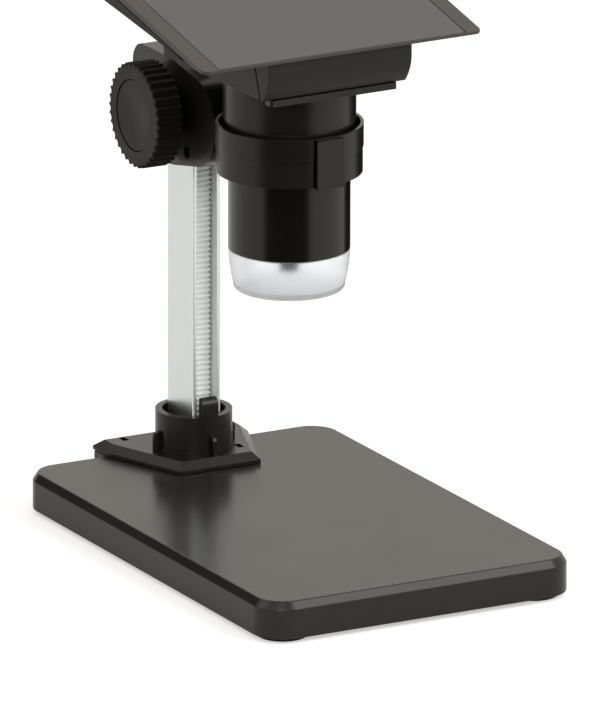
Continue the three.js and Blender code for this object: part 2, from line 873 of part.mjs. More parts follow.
function ringClamp() {
  const inner = ring.radius - ring.wall;
  const bore = barrel.radius + gap;
  const step = ring.radius - ring.lowerRadius;
  const bands = revolve([
    [bore, -ring.below],
    [ring.lowerRadius, -ring.below],
    [ring.lowerRadius, ledge - step],
    [ring.radius, ledge],
    [ring.radius, ringTop],
    [inner, ringTop],
    [inner, ledge],
    [bore, ledge],
    [bore, -ring.below],
  ], 40);
  const low = tangMiddle - ring.tangHeight / 2;
  const tab = ringBlock(
    ring.tabAngle,
    ring.tabWidth,
    bore,
    ring.tabFace,
    -ring.below - ring.tabDrop,
    ringTop - ring.tabDrop,
  );
  const tang = block(
    [-ring.tangWidth / 2, ring.tangWidth / 2],
    [ring.radius - ring.wall, ring.reach - tangBack],
    [low, low + ring.tangHeight],
  );
  const split = ringBlock(
    ring.splitAngle,
    ring.splitWidth,
    bore - overrun,
    ring.tabFace + overrun,
    -ring.below - overrun,
    ringTop + overrun,
  );
  return cut(
    join(bands, tab, tang),
    pillar(bore, -ring.below - overrun, ledge + overrun, 0, 0, 40),
    pillar(inner, ledge, ringTop + overrun, 0, 0, 40),
    split,
    axle(ring.pegRadius + gap, -ring.tangWidth, ring.tangWidth, ring.reach - pegForward, tangMiddle, 12),
  );
}

place('carriage_left', carriageHalf(-1), mattBlack, carriageFrame);
place('carriage_right', carriageHalf(1), mattBlack, carriageFrame);
place('ring_clamp', ringClamp(), greyBlack, carriageFrame, [0, -ring.reach, 0]);
place(
  'guide_liner',
  block(
    [-liner.width / 2, liner.width / 2],
    [column.depth / 2 + gap, column.depth / 2 + gap + liner.thickness],
    [-liner.height / 2, liner.height / 2],
  ),
  nylon,
  carriageFrame,
);
for (const { name, y, z } of carriageScrews) {
  const seat = carriage.halfWidth - carriage.counterboreDepth + gap;
  const turn = [0, Math.PI / 2, 0];
  place(`carriage_screw_${name}`, screwBody(carriageScrew), steel, carriageFrame, [-seat, y, z], turn);
}

// Shaft, pinion and knobs, about the pinion's axis

function shaftBush(sign) {
  const inner = sign * shaft.bushStart;
  const outer = sign * (carriage.bossReach - gap);
  const [x0, x1] = [Math.min(inner, outer), Math.max(inner, outer)];
  return cut(
    axle(bushRadius, x0, x1, 0, 0, 16),
    axle(shaft.radius + gap, x0 - overrun, x1 + overrun, 0, 0, 12),
  );
}

// One flank of a tooth: radius and half angle from the tooth's middle, by the involute of the base
// circle, from the root to the tip.
function toothFlank() {
  const pressure = THREE.MathUtils.degToRad(gear.flankAngle);
  const baseRadius = pitchRadius * Math.cos(pressure);
  const involute = (radius) => {
    const angle = Math.acos(Math.min(1, baseRadius / radius));
    return Math.tan(angle) - angle;
  };
  const halfAtPitch = (gear.pitch / 4 - gear.backlash / 2) / pitchRadius;
  const root = pitchRadius - gear.dedendum;
  const tip = pitchRadius + gear.addendum;
  const points = [];
  for (let i = 0; i <= gear.flankSteps; i += 1) {
    const radius = root + ((tip - root) * i) / gear.flankSteps;
    const curve = involute(pitchRadius) - involute(Math.max(radius, baseRadius));
    points.push({ radius, half: halfAtPitch + curve });
  }
  return points;
}

// The pinion's outline has a gap between two teeth on the side of the rack, where the rack's middle
// tooth lies.
function pinionBody() {
  const flank = toothFlank();
  const towardsRack = 0;
  const points = [];
  for (let tooth = 0; tooth < gear.teeth; tooth += 1) {
    const middle = towardsRack + ((tooth + 0.5) * 2 * Math.PI) / gear.teeth;
    const rising = flank.map(({ radius, half }) => ({ radius, angle: middle - half }));
    const falling = flank.map(({ radius, half }) => ({ radius, angle: middle + half })).reverse();
    for (const { radius, angle } of [...rising, ...falling]) {
      points.push(new THREE.Vector2(radius * Math.cos(angle), radius * Math.sin(angle)));
    }
  }
  const half = gear.width / 2;
  return cut(
    sidePrism(new THREE.Shape(points), -half, half),
    axle(shaft.radius + gap, -gear.width, gear.width, 0, 0, 12),
  );
}

function pinionShaft() {
  const drillEnd = knobScrewSeat - knobScrew.length - gap;
  return cut(
    axle(shaft.radius, -shaft.halfLength, shaft.halfLength, 0, 0, 12),
    axle(knobScrew.radius + gap, drillEnd, shaft.halfLength + overrun, 0, 0, 8),
    axle(knobScrew.radius + gap, -shaft.halfLength - overrun, -drillEnd, 0, 0, 8),
  );
}

function knobOutline(inset) {
  const count = knob.flutes * knob.flutePoints;
  return Array.from({ length: count }, (_, i) => {
    const angle = (2 * Math.PI * i) / count;
    const scoop = (1 - Math.cos(knob.flutes * angle)) / 2;
    const radius = knob.radius - knob.fluteDepth * scoop - inset;
    return new THREE.Vector2(radius * Math.cos(angle), radius * Math.sin(angle));
  });
}

// A knob whose outer face looks along +X, with its inner face where the thickness puts it.
function knobBody() {
  const inner = knob.outerFace - knob.thickness;
  const rim = loft([
    { z: inner, points: knobOutline(0) },
    { z: knob.outerFace - knob.edge, points: knobOutline(0) },
    { z: knob.outerFace, points: knobOutline(knob.edge) },
  ]).applyMatrix4(alongX);
  const backRing = cut(
    axle(knob.rimInner, inner - overrun, inner + knob.backDepth, 0, 0, 20),
    axle(knob.hubRadius, inner - 2 * overrun, inner + knob.backDepth + overrun, 0, 0, 12),
  );
  return cut(
    solid(rim),
    backRing,
    axle(knob.capRadius, knob.outerFace - knob.capSeat, knob.outerFace + overrun, 0, 0, 24),
    axle(knobScrew.headRadius + gap, knob.outerFace - knob.screwSeat, knob.outerFace, 0, 0, 12),
    axle(knobScrew.radius + gap, shaft.halfLength - overrun, knob.outerFace, 0, 0, 8),
    axle(shaft.radius + gap, inner - overrun, shaft.halfLength + gap, 0, 0, 12),
  );
}

// The inlaid disc on a knob's outer face, a little lower in the middle.
function knobCap() {
  const radius = knob.capRadius - gap;
  const seat = knob.outerFace - knob.capSeat + gap;
  const rimFace = knob.outerFace - gap;
  const middle = rimFace - knob.capDish;
  return revolve([
    [0, seat],
    [radius, seat],
    [radius, rimFace],
    [radius / 2, (rimFace + middle) / 2 - knob.capDish / 4],
    [0, middle],
  ], 24);
}

place('shaft_bush_left', shaftBush(-1), brass, carriageFrame, [0, -carriage.pinionForward, 0]);
place('shaft_bush_right', shaftBush(1), brass, carriageFrame, [0, -carriage.pinionForward, 0]);
place('pinion_shaft', pinionShaft(), steel, knobFrame);
place('pinion', pinionBody(), brass, knobFrame);
['left', 'right'].forEach((side) => {
  const halfTurn = side === 'left' ? Math.PI : 0;
  const sign = side === 'left' ? -1 : 1;
  place(`knob_${side}`, knobBody(), mattBlack, knobFrame, [0, 0, 0], [0, 0, halfTurn]);
  place(`knob_cap_${side}`, knobCap(), mattBlack, knobFrame, [0, 0, 0], [0, sign * Math.PI / 2, 0]);
  place(
    `knob_screw_${side}`,
    screwBody(knobScrew),
    steel,
    knobFrame,
    [sign * knobScrewSeat, 0, 0],
    [0, -sign * Math.PI / 2, 0],
  );
});

// Barrel, from the ledge in the ring

const plateMiddle = (barrel.plateRear - barrel.plateFront) / 2;
const neckScrews = [
  { name: 'front', x: barrel.screwInset - barrel.plateHalfWidth, y: barrel.screwInset - head.seamFoot },
  { name: 'rear', x: barrel.plateHalfWidth - barrel.screwInset, y: barrel.plateRear - barrel.screwInset },
];

function neck() {
  const flangeTop = gap + barrel.flangeThickness;
  const tube = revolve([
    [barrel.boreRadius, gap - barrel.seam],
    [barrel.radius, gap - barrel.seam],
    [barrel.radius, gap],
    [barrel.flangeRadius, gap],
    [barrel.flangeRadius, flangeTop],
    [barrel.seatRadius, flangeTop],
    [barrel.seatRadius, barrel.neckStart],
    [barrel.neckRadius, barrel.neckStart],
    [barrel.neckRadius, neckTop + barrel.plateThickness],
    [barrel.boreRadius, neckTop + barrel.plateThickness],
    [barrel.boreRadius, gap - barrel.seam],
  ]);
  const plate = prism(
    roundedRectangle(
      2 * barrel.plateHalfWidth,
      barrel.plateFront + barrel.plateRear,
      barrel.plateCorner,
      0,
      plateMiddle,
    ),
    neckTop,
    neckTop + barrel.plateThickness,
    2,
  );
  const plateTop = neckTop + barrel.plateThickness;
  const bore = pillar(barrel.boreRadius, neckTop - overrun, plateTop + overrun, 0, 0, 32);
  const holes = neckScrews.map(({ x, y }) => (
    pillar(neckScrew.radius + gap, neckTop - overrun, hullBottom, x, y, 8)
  ));
  return cut(join(tube, plate), bore, ...holes);
}

function focusSleeve() {
  const boreRadius = barrel.radius - sleeve.wall;
  const spigotRadius = barrel.boreRadius - gap;
  const spigotBore = spigotRadius - sleeve.spigotWall;
  const shoulder = -barrel.seam - sleeve.shoulder;
  return revolve([
    [boreRadius, -sleeve.bottom],
    [barrel.radius, -sleeve.bottom],
    [barrel.radius, -barrel.seam],
    [spigotRadius, -barrel.seam],
    [spigotRadius, sleeve.spigotTop],
    [spigotBore, sleeve.spigotTop],
    [spigotBore, shoulder],
    [boreRadius, shoulder],
    [boreRadius, -sleeve.bottom],
  ]);
}

function frostedCap() {
  const top = -(sleeve.bottom + gap);
  const bottom = -lightCap.bottom;
  const spigotRadius = barrel.radius - sleeve.wall - gap;
  const inner = spigotRadius - lightCap.spigotWall;
  const round = lightCap.edgeRound;
  const flat = lightCap.bottomRadius - round;
  const edge = new THREE.EllipseCurve(flat, bottom + round, round, round, -Math.PI / 2, 0);
  const wall = new THREE.QuadraticBezierCurve(
    new THREE.Vector2(lightCap.bottomRadius, bottom + round),
    new THREE.Vector2(lightCap.topRadius, (top + bottom) / 2 + round),
    new THREE.Vector2(lightCap.topRadius, top),
  );
  const skin = [...edge.getPoints(3), ...wall.getPoints(3).slice(1)].map((p) => [p.x, p.y]);
  return revolve([
    [0, bottom],
    ...skin,
    [spigotRadius, top],
    [spigotRadius, top + lightCap.spigot],
    [inner, top + lightCap.spigot],
    [lightCap.innerBottom, bottom + lightCap.floor],
    [0, bottom + lightCap.floor],
  ]);
}

function lightBoard() {
  const underside = ledBoard.above - sleeve.bottom;
  const outer = barrel.radius - sleeve.wall - gap;
  let body = cut(
    pillar(outer, underside, underside + ledBoard.thickness, 0, 0, 32),
    pillar(ledBoard.holeRadius, underside - overrun, underside + ledBoard.thickness + overrun),
  );
  for (let i = 0; i < ledBoard.leds; i += 1) {
    const angle = (2 * Math.PI * i) / ledBoard.leds;
    const x = ledBoard.ledCircle * Math.cos(angle);
    const y = ledBoard.ledCircle * Math.sin(angle);
    const z = underside - ledBoard.ledHeight;
    body = join(body, pillar(ledBoard.ledRadius, z, underside + ledBoard.thickness / 2, x, y, 4));
  }
  return body;
}

function lensHolder() {
  const discRadius = barrel.boreRadius - gap - sleeve.spigotWall - gap;
  const tubeBore = lens.tubeRadius - lens.tubeWall;
  const bodyBore = lens.bodyRadius - lens.bodyWall;
  const seatBore = lens.tubeRadius - lens.seatWall;
  const cone = lens.bodyRadius - lens.tubeRadius;
  return revolve([
    [seatBore, -lens.tip],
    [lens.tubeRadius, -lens.tip],
    [lens.tubeRadius, -lens.shoulderDrop],
    [lens.bodyRadius, cone - lens.shoulderDrop],
    [lens.bodyRadius, -lens.discBottom],
    [discRadius, -lens.discBottom],
    [discRadius, lens.discTop],
    [bodyBore, lens.discTop],
    [bodyBore, cone - lens.shoulderDrop],
    [tubeBore, -lens.shoulderDrop],
    [tubeBore, lens.seatDepth - lens.tip],
    [seatBore, lens.seatDepth - lens.tip],
    [seatBore, -lens.tip],
  ], 14);
}

// A double-convex lens just inside the tip of its holder.
function objectiveLens() {
  const radius = lens.tubeRadius - lens.seatWall - gap;
  const top = lens.seatDepth - gap - lens.tip;
  const crown = lens.thickness / 4;
  return revolve([
    [0, top - lens.thickness],
    [radius / 2, top - lens.thickness + crown / 3],
    [radius, top - lens.thickness + crown],
    [radius, top - crown],
    [radius / 2, top - crown / 3],
    [0, top],
  ], 12);
}

place('neck', neck(), glossBlack, scopeFrame);
place('focus_sleeve', focusSleeve(), glossBlack, scopeFrame);
place('light_cap', frostedCap(), frosted, scopeFrame);
place('light_board', lightBoard(), circuitGreen, scopeFrame);
place('lens_holder', lensHolder(), mattBlack, scopeFrame);
place('objective_lens', objectiveLens(), opticalGlass, scopeFrame);
for (const { name, x, y } of neckScrews) {
  const at = [x, y, hullFloor + gap];
  place(`neck_screw_${name}`, screwBody(neckScrew), steel, scopeFrame, at, [Math.PI, 0, 0]);
}

// Head housing. Heights are from the ledge, and Y from the barrel's axis.

const frontY = -head.frontReach;
const topAt = (y) => head.frontTop + (y - frontY) * rise;
const undersideZ = head.frontTop - head.edgeThickness;
const rearY = frontY + head.length * Math.cos(tiltAngle);
const seamAt = (z) => -head.seamFoot + (z - hullBottom) * head.seamLean;

// The screen housing's cross-section at one depth: straight sides, then a belly that slopes in to
// a level underside. It shrinks by the wall for the hollow.
function housingSection(y, wall, floorWall) {
  const half = head.width / 2 - wall;
  const lid = (bezel.thickness + gap) / Math.cos(tiltAngle);
  const top = topAt(y) - lid + (wall > 0 ? overrun : 0);
  const sideDepth = (head.edgeThickness + head.sideSlope * (y - frontY)) / Math.cos(tiltAngle);
  const low = topAt(y) - sideDepth + floorWall;
  const bottom = undersideZ + floorWall;
  const run = Math.min((low - bottom) / head.bellySlope, half - head.wall);
  return [-1, 1].flatMap((sign) => [
    new THREE.Vector3(sign * half, y, top),
    new THREE.Vector3(sign * half, y, low),
    new THREE.Vector3(sign * (half - run), y, bottom),
  ]);
}

function housingWedge(y0, y1, wall = 0, floorWall = 0) {
  const points = [...housingSection(y0, wall, floorWall), ...housingSection(y1, wall, floorWall)];
  return solid(new ConvexGeometry(points));
}

// Where the screen housing first has any depth under the lid.
const wedgeStart = frontY + (bezel.thickness + gap - head.edgeThickness) / head.sideSlope + overrun;

function hullBlock(inset) {
  const front = seamAt(hullBottom);
  const length = head.hullRear - front - 2 * inset;
  const middle = (head.hullRear + front) / 2;
  const width = 2 * (head.hullHalfWidth - inset);
  const radius = head.hullCorner - Math.min(inset, head.hullCorner / 2);
  const edge = inset > 0 ? 0 : head.hullEdge;
  const full = ringPoints(roundedRectangle(width, length, radius, 0, middle), 2);
  const foot0 = ringPoints(roundedRectangle(width - 2 * edge, length - 2 * edge, radius, 0, middle), 2);
  const z = hullBottom + inset;
  const top = undersideZ + head.floorWall + (inset > 0 ? overrun : 0);
  return solid(loft([
    { z, points: edge > 0 ? foot0 : full },
    { z: z + head.hullEdge, points: full },
    { z: top, points: full },
  ]));
}

// All that lies in front of the seam between hull and front cover, moved back by a distance.
function beforeSeam(back) {
  const low = hullBottom - overrun;
  const high = head.frontTop + overrun;
  return sidePrism(
    outline([
      [frontY - overrun, low],
      [seamAt(low) + back, low],
      [seamAt(high) + back, high],
      [frontY - overrun, high],
    ]),
    -head.width,
    head.width,
  );
}

const sideHole = ({ width, height, behind, above }, depth) => block(
  [depth, head.hullHalfWidth + overrun],
  [behind - width / 2, behind + width / 2],
  [hullBottom + above, hullBottom + above + height],
);

const grown = (port) => ({
  ...port,
  width: port.width + 2 * gap,
  height: port.height + 2 * gap,
  above: port.above - gap,
});

function headHousing() {
  const inside = head.hullHalfWidth - head.wall - overrun;
  const hull = cut(hullBlock(0), beforeSeam(0));
  const hollow = cut(hullBlock(head.wall), beforeSeam(head.wall));
  const wedge = housingWedge(wedgeStart, rearY);
  const wedgeHollow = housingWedge(wedgeStart + 2 * head.wall, rearY - head.wall, head.wall, head.floorWall);
  let body = cut(
    join(hull, wedge),
    hollow,
    wedgeHollow,
    pillar(barrel.boreRadius, hullBottom - overrun, hullFloor + overrun, 0, 0, 32),
    sideHole(grown(usb), inside),
    sideHole(grown(cardSlot), inside),
  );
  const rear = battery.length - battery.forward;
  const posts = [
    [battery.width / 2 - battery.postRadius, -battery.forward + battery.postRadius],
    [battery.width / 2 - battery.postRadius, rear - battery.postRadius],
  ];
  for (const [x, y] of posts.flatMap(([px, py]) => [[px, py], [-px, py]])) {
    const top = hullFloor + battery.lift - gap;
    body = join(body, pillar(battery.postRadius, hullFloor - head.wall / 2, top, x, y, 8));
  }
  for (const { x, y } of neckScrews) {
    body = cut(body, pillar(neckScrew.radius + gap, hullBottom - overrun, hullFloor + overrun, x, y, 8));
  }
  return body;
}

// The front cover's side outline: upright under the screen's front edge, then curving back and in.
function coverOutline(inset) {
  const bottom = hullBottom + head.coverRise + inset;
  const top = undersideZ - gap - inset;
  const face = frontY + head.coverSetback + inset;
  const seam = (z) => seamAt(z) - head.seamWidth + (inset > 0 ? overrun : 0);
  const shape = new THREE.Shape();
  shape.moveTo(seam(bottom), bottom);
  shape.lineTo(seam(top), top);
  shape.lineTo(face, top);
  shape.lineTo(face, head.coverCurveTop);
  shape.quadraticCurveTo(face, (head.coverCurveTop + bottom) / 2, inset - head.coverFoot, bottom);
  return shape;
}

function frontCover() {
  const half = head.hullHalfWidth;
  return cut(
    sidePrism(coverOutline(0), -half, half, 5),
    sidePrism(coverOutline(head.wall), head.wall - half, half - head.wall, 5),
  );
}

place('head_housing', headHousing(), mattBlack, scopeFrame);
place('front_cover', frontCover(), greyBlack, scopeFrame);

// Parts in the tilted screen's own frame: Y runs back along the slope, Z out of the glass.

const buttonX = Array.from(
  { length: button.count },
  (_, i) => (i - (button.count - 1) / 2) * button.spacing,
);

const capOutline = (x, grow) => roundedRectangle(
  button.width + 2 * grow,
  button.length + 2 * grow,
  button.corner,
  x,
  keyRow,
);

function topBezel() {
  const t = bezel.thickness;
  const glassMiddle = glassStart + glassLength / 2;
  const recess = bezel.glassDrop + bezel.glassThickness + gap;
  const plate = prism(
    roundedRectangle(head.width, head.length, head.cornerRadius, 0, head.length / 2),
    -t,
    0,
    2,
  );
  const wedgeEnd = (t - head.edgeThickness) / head.sideSlope;
  const undercut = sidePrism(
    outline([
      [-overrun, overrun * head.sideSlope - head.edgeThickness],
      [-overrun, -t - overrun],
      [wedgeEnd, -t - overrun],
      [wedgeEnd, -t],
    ]),
    -head.width,
    head.width,
  );
  const seat = prism(
    roundedRectangle(
      glassWidth + 2 * gap,
      glassLength + 2 * gap,
      bezel.glassCorner,
      0,
      glassMiddle,
    ),
    -recess,
    overrun,
    1,
  );
  const window = block(
    [-windowWidth / 2, windowWidth / 2],
    [windowStart, windowEnd],
    [-t - overrun, overrun],
  );
  const holes = buttonX.map((x) => prism(capOutline(x, gap), -t - overrun, overrun, 1));
  return cut(plate, undercut, seat, window, ...holes);
}

function buttonBody(x) {
  const under = -bezel.thickness - gap;
  const flangeBottom = under - button.flangeThickness;
  const stem = pillar(
    button.stemRadius,
    flangeBottom - button.stem,
    under,
    x,
    keyRow,
    6,
  );
  return join(
    prism(capOutline(x, 0), under - button.flangeThickness / 2, button.proud, 1),
    prism(capOutline(x, button.flange), flangeBottom, under, 1),
    stem,
  );
}

function mainBoard() {
  const stemEnd = -bezel.thickness - gap - button.flangeThickness - button.stem;
  const half = board.switchSize / 2;
  const rear = head.length - board.fromRear;
  let body = block(
    [-board.width / 2, board.width / 2],
    [rear - board.length, rear],
    [-board.depth - board.thickness, -board.depth],
  );
  for (const x of buttonX) {
    body = join(body, block(
      [x - half, x + half],
      [keyRow - half, keyRow + half],
      [-board.depth - board.thickness / 2, stemEnd - button.play],
    ));
  }
  return body;
}

place('top_bezel', topBezel(), greyBlack, screenFrame);
place(
  'screen_glass',
  prism(
    roundedRectangle(
      glassWidth,
      glassLength,
      bezel.glassCorner,
      0,
      glassStart + glassLength / 2,
    ),
    -bezel.glassDrop - bezel.glassThickness,
    -bezel.glassDrop,
    1,
  ),
  screenGlass,
  screenFrame,
);
place(
  'screen_panel',
  block(
    [-windowWidth / 2 - screen.sideRim, windowWidth / 2 + screen.sideRim],
    [windowStart - screen.frontRim, windowEnd + screen.rearRim],
    [-bezel.thickness - gap - screen.thickness, -bezel.thickness - gap],
  ),
  glossBlack,
  screenFrame,
);
place('main_board', mainBoard(), circuitGreen, screenFrame);
buttonX.forEach((x, i) => {
  place(`button_${i + 1}`, buttonBody(x), greyBlack, screenFrame);
});

// Pieces inside the hull

place(
  'battery',
  prism(
    roundedRectangle(
      battery.width,
      battery.length,
      battery.postRadius,
      0,
      battery.length / 2 - battery.forward,
    ),
    hullFloor + battery.lift,
    hullFloor + battery.lift + battery.thickness,
    1,
  ),
  foil,
  scopeFrame,
);
place(
  'sensor_board',
  join(
    block(
      [-sensor.size / 2, sensor.size / 2],
      [-sensor.size / 2, sensor.size / 2],
      [hullFloor + gap, hullFloor + gap + sensor.thickness],
    ),
    block(
      [-sensor.chip / 2, sensor.chip / 2],
      [-sensor.chip / 2, sensor.chip / 2],
      [hullFloor + gap - sensor.chipHeight, hullFloor + gap + sensor.thickness / 2],
    ),
  ),
  circuitGreen,
  scopeFrame,
);
for (const [name, port] of [['usb_port', usb], ['card_slot', cardSlot]]) {
  const { width, height, depth, behind, above } = port;
  const wall = height / 6;
  const across = [behind - width / 2, behind + width / 2];
  const upright = [hullBottom + above, hullBottom + above + height];
  place(
    name,
    cut(
      block([head.hullHalfWidth - depth, head.hullHalfWidth], across, upright),
      block(
        [head.hullHalfWidth - depth + head.wall, head.hullHalfWidth + overrun],
        [across[0] + wall, across[1] - wall],
        [upright[0] + wall, upright[1] - wall],
      ),
    ),
    steel,
    scopeFrame,
  );
}

export default microscope;
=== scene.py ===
# The looks of a digital microscope on its desk stand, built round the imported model.
# While a piece is being made, 1 unit is 1 mm in the piece's own frame. set_down() brings it to its
# place in the part, in metres.
import math

import bpy
from mathutils import Matrix, Vector


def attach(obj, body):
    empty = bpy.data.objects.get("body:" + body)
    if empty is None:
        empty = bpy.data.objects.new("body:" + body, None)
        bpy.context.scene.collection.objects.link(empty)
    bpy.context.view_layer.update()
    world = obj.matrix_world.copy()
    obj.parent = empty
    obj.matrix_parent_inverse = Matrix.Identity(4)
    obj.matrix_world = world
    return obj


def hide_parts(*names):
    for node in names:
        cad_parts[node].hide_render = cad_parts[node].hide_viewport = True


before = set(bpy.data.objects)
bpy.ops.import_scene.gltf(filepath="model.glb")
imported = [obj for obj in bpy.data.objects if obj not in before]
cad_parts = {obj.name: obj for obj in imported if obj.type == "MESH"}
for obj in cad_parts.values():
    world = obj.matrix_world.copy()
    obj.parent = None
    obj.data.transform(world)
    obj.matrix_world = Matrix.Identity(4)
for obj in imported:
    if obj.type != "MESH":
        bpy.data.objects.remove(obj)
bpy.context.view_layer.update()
bpy.ops.object.select_all(action="DESELECT")

MILLIMETRE = 0.001


def moved(x=0, y=0, z=0):
    return Matrix.Translation((x, y, z))


def turned_by(degrees, axis):
    return Matrix.Rotation(math.radians(degrees), 4, axis)


# The frames that the pieces are made in: base, column on the base, carriage on the column, knobs on
# their shaft, ring on the carriage, barrel from the ledge in the ring, and the leaning screen.
BASE = moved(y=-4.05)
COLUMN = moved(y=77.55, z=15.8)
CARRIAGE = moved(y=77.55, z=155.3)
SHAFT = moved(y=64.95, z=155.3)
RING = moved(y=2.8, z=155.3)
BARREL = moved(y=2.8, z=155.8) @ turned_by(1.9, "Z")
# The screen's lower edge in the barrel's frame, and the degrees that the screen leans by.
SCREEN_Y = -39.2
SCREEN_Z = 44.3
SCREEN_LEAN = 13.3
SCREEN = BARREL @ moved(y=SCREEN_Y, z=SCREEN_Z) @ turned_by(SCREEN_LEAN, "X")

# Directions of the knobs' outer faces, from a knob made upright.
TO_RIGHT = turned_by(90, "Y")
TO_LEFT = turned_by(-90, "Y")

# Sizes that drive the pieces, each in its piece's own frame.
COLUMN_HALF_WIDTH = 5.9
COLUMN_HALF_DEPTH = 10.2
COLUMN_BOTTOM = 2.6
COLUMN_TOP = 190
COLUMN_BORE_Y = 4
RACK_PITCH = 2
SHAFT_Y = -12.6
RING_BORE = 22.9
NECK_BORE = 19.2
BARREL_RADIUS = 22.6
HULL_HALF_WIDTH = 30.3
HULL_FLOOR = 27.6
HULL_RAKE = 0.32
LID_HALF_WIDTH = 59
# The lid's front edge is this thick, and its underside falls by the taper for each mm behind it.
LID_EDGE = 1.2
LID_TAPER = 0.08
KEY_COUNT = 6
KEY_SPACING = 15
KEY_ROW_Y = 82


# Bench tools

def only(piece, *others):
    """Leaves just these selected, with the first one active."""
    bpy.ops.object.select_all(action="DESELECT")
    for each in (piece, *others):
        each.select_set(True)
    bpy.context.view_layer.objects.active = piece


def fresh(name):
    """Names the primitive that was just added, with its place put into its mesh."""
    piece = bpy.context.object
    piece.name = name
    piece.data.name = name
    bpy.ops.object.transform_apply(location=True, rotation=True, scale=True)
    return piece


def pick(piece, test, kind="FACE"):
    """Opens a piece with the faces, edges or corners selected whose middle and direction pass."""
    only(piece)
    bpy.ops.object.mode_set(mode="EDIT")
    bpy.ops.mesh.select_mode(type=kind)
    bpy.ops.mesh.select_all(action="DESELECT")
    bpy.ops.object.mode_set(mode="OBJECT")
    mesh = piece.data
    if kind == "FACE":
        for face in mesh.polygons:
            face.select = test(face.center, face.normal)
    elif kind == "EDGE":
        for edge in mesh.edges:
            start, end = [mesh.vertices[i].co for i in edge.vertices]
            edge.select = test((start + end) / 2, (end - start).normalized())
    else:
        for corner in mesh.vertices:
            corner.select = test(corner.co, corner.normal)
    bpy.ops.object.mode_set(mode="EDIT")


def pick_all(piece):
    only(piece)
    bpy.ops.object.mode_set(mode="EDIT")
    bpy.ops.mesh.select_mode(type="VERT")
    bpy.ops.mesh.select_all(action="SELECT")


def leave():
    bpy.ops.object.mode_set(mode="OBJECT")


def block(name, across, along, upright):
    """A box between two limits on each axis."""
    limits = (across, along, upright)
    middle = [(low + high) / 2 for low, high in limits]
    size = [high - low for low, high in limits]
    bpy.ops.mesh.primitive_cube_add(size=1, location=middle, scale=size)
    return fresh(name)


def slab(name, across, along, upright, corner, steps=10):
    """A box with its upright corners rounded."""
    piece = block(name, across, along, upright)
    pick(piece, lambda middle, along_edge: abs(along_edge.z) > 0.9, "EDGE")
    bpy.ops.mesh.bevel(offset=corner, segments=steps, affect="EDGES")
    leave()
    return piece


def post(name, radius, bottom, top, x=0, y=0, sides=96):
    """A round bar that stands upright."""
    bpy.ops.mesh.primitive_cylinder_add(
        vertices=sides, radius=radius, depth=top - bottom, location=(x, y, (bottom + top) / 2))
    return fresh(name)


def axle(name, radius, start, end, y=0, z=0, sides=64):
    """A round bar that lies across, along X."""
    bpy.ops.mesh.primitive_cylinder_add(
        vertices=sides, radius=radius, depth=abs(end - start),
        location=((start + end) / 2, y, z), rotation=(0, math.pi / 2, 0))
    return fresh(name)


def lathe(name, profile, steps=128):
    """Draws a circle through a profile of [radius, height] points, which closes on itself or is
    filled at its two ends."""
    radius, height = profile[0]
    bpy.ops.mesh.primitive_circle_add(vertices=steps, radius=radius, location=(0, 0, height))
    piece = fresh(name)
    pick_all(piece)
    for next_radius, next_height in profile[1:]:
        bpy.ops.mesh.extrude_region_move(
            TRANSFORM_OT_translate={"value": (0, 0, next_height - height)})
        scale = next_radius / radius
        bpy.ops.transform.resize(value=(scale, scale, 1), center_override=(0, 0, 0))
        radius, height = next_radius, next_height
    bpy.ops.mesh.select_all(action="SELECT")
    bpy.ops.mesh.remove_doubles(threshold=0.005)
    bpy.ops.mesh.fill_holes(sides=0)
    bpy.ops.mesh.normals_make_consistent(inside=False)
    leave()
    return piece


def combine(piece, operation, tools):
    """Adds tools to a piece or cuts them away, then clears the slivers that this leaves."""
    for tool in tools:
        only(piece)
        change = piece.modifiers.new("combined", "BOOLEAN")
        change.operation = operation
        change.solver = "EXACT"
        change.object = tool
        bpy.ops.object.modifier_apply(modifier=change.name)
        bpy.data.objects.remove(tool)
    pick_all(piece)
    bpy.ops.mesh.remove_doubles(threshold=0.01)
    bpy.ops.mesh.dissolve_limited(angle_limit=math.radians(0.3))
    leave()
    return piece


def join(piece, *tools):
    return combine(piece, "UNION", tools)


def cut(piece, *tools):
    return combine(piece, "DIFFERENCE", tools)


def plane_off(piece, point, outward):
    """Planes away all that lies beyond a flat, and closes the cut."""
    pick_all(piece)
    direction = Vector(outward).normalized()
    bpy.ops.mesh.bisect(plane_co=point, plane_no=direction, use_fill=True, clear_outer=True)
    leave()
    return piece


def turn(piece, matrix):
    """Turns or moves a piece within the frame that it is made in."""
    piece.matrix_world = matrix
    only(piece)
    bpy.ops.object.transform_apply(location=True, rotation=True, scale=True)
    return piece


def copied(piece, name, matrix):
    """A copy with its own mesh, turned or moved."""
    other = piece.copy()
    other.data = piece.data.copy()
    other.name = name
    other.data.name = name
    bpy.context.scene.collection.objects.link(other)
    return turn(other, matrix)


def soften(piece, width, segments=3, angle=25, guarded=True):
    """Rounds the edges sharper than an angle, as a mould or a deburring leaves them, and shades the
    piece smooth while its flat faces stay flat. Unguarded, one thin spot doesn't narrow the rest."""
    only(piece)
    rounding = piece.modifiers.new("rounded", "BEVEL")
    rounding.width = width
    rounding.segments = segments
    rounding.limit_method = "ANGLE"
    rounding.angle_limit = math.radians(angle)
    rounding.use_clamp_overlap = guarded
    bpy.ops.object.modifier_apply(modifier=rounding.name)
    bpy.ops.object.shade_smooth_by_angle(angle=math.radians(40))
    even = piece.modifiers.new("even", "WEIGHTED_NORMAL")
    even.keep_sharp = True
    bpy.ops.object.modifier_apply(modifier=even.name)
    return piece


def on_curve(along, start, middle, end):
    """A value on a bend from start to end that is drawn towards middle, with along from 0 to 1."""
    return start * (1 - along) ** 2 + middle * 2 * along * (1 - along) + end * along ** 2


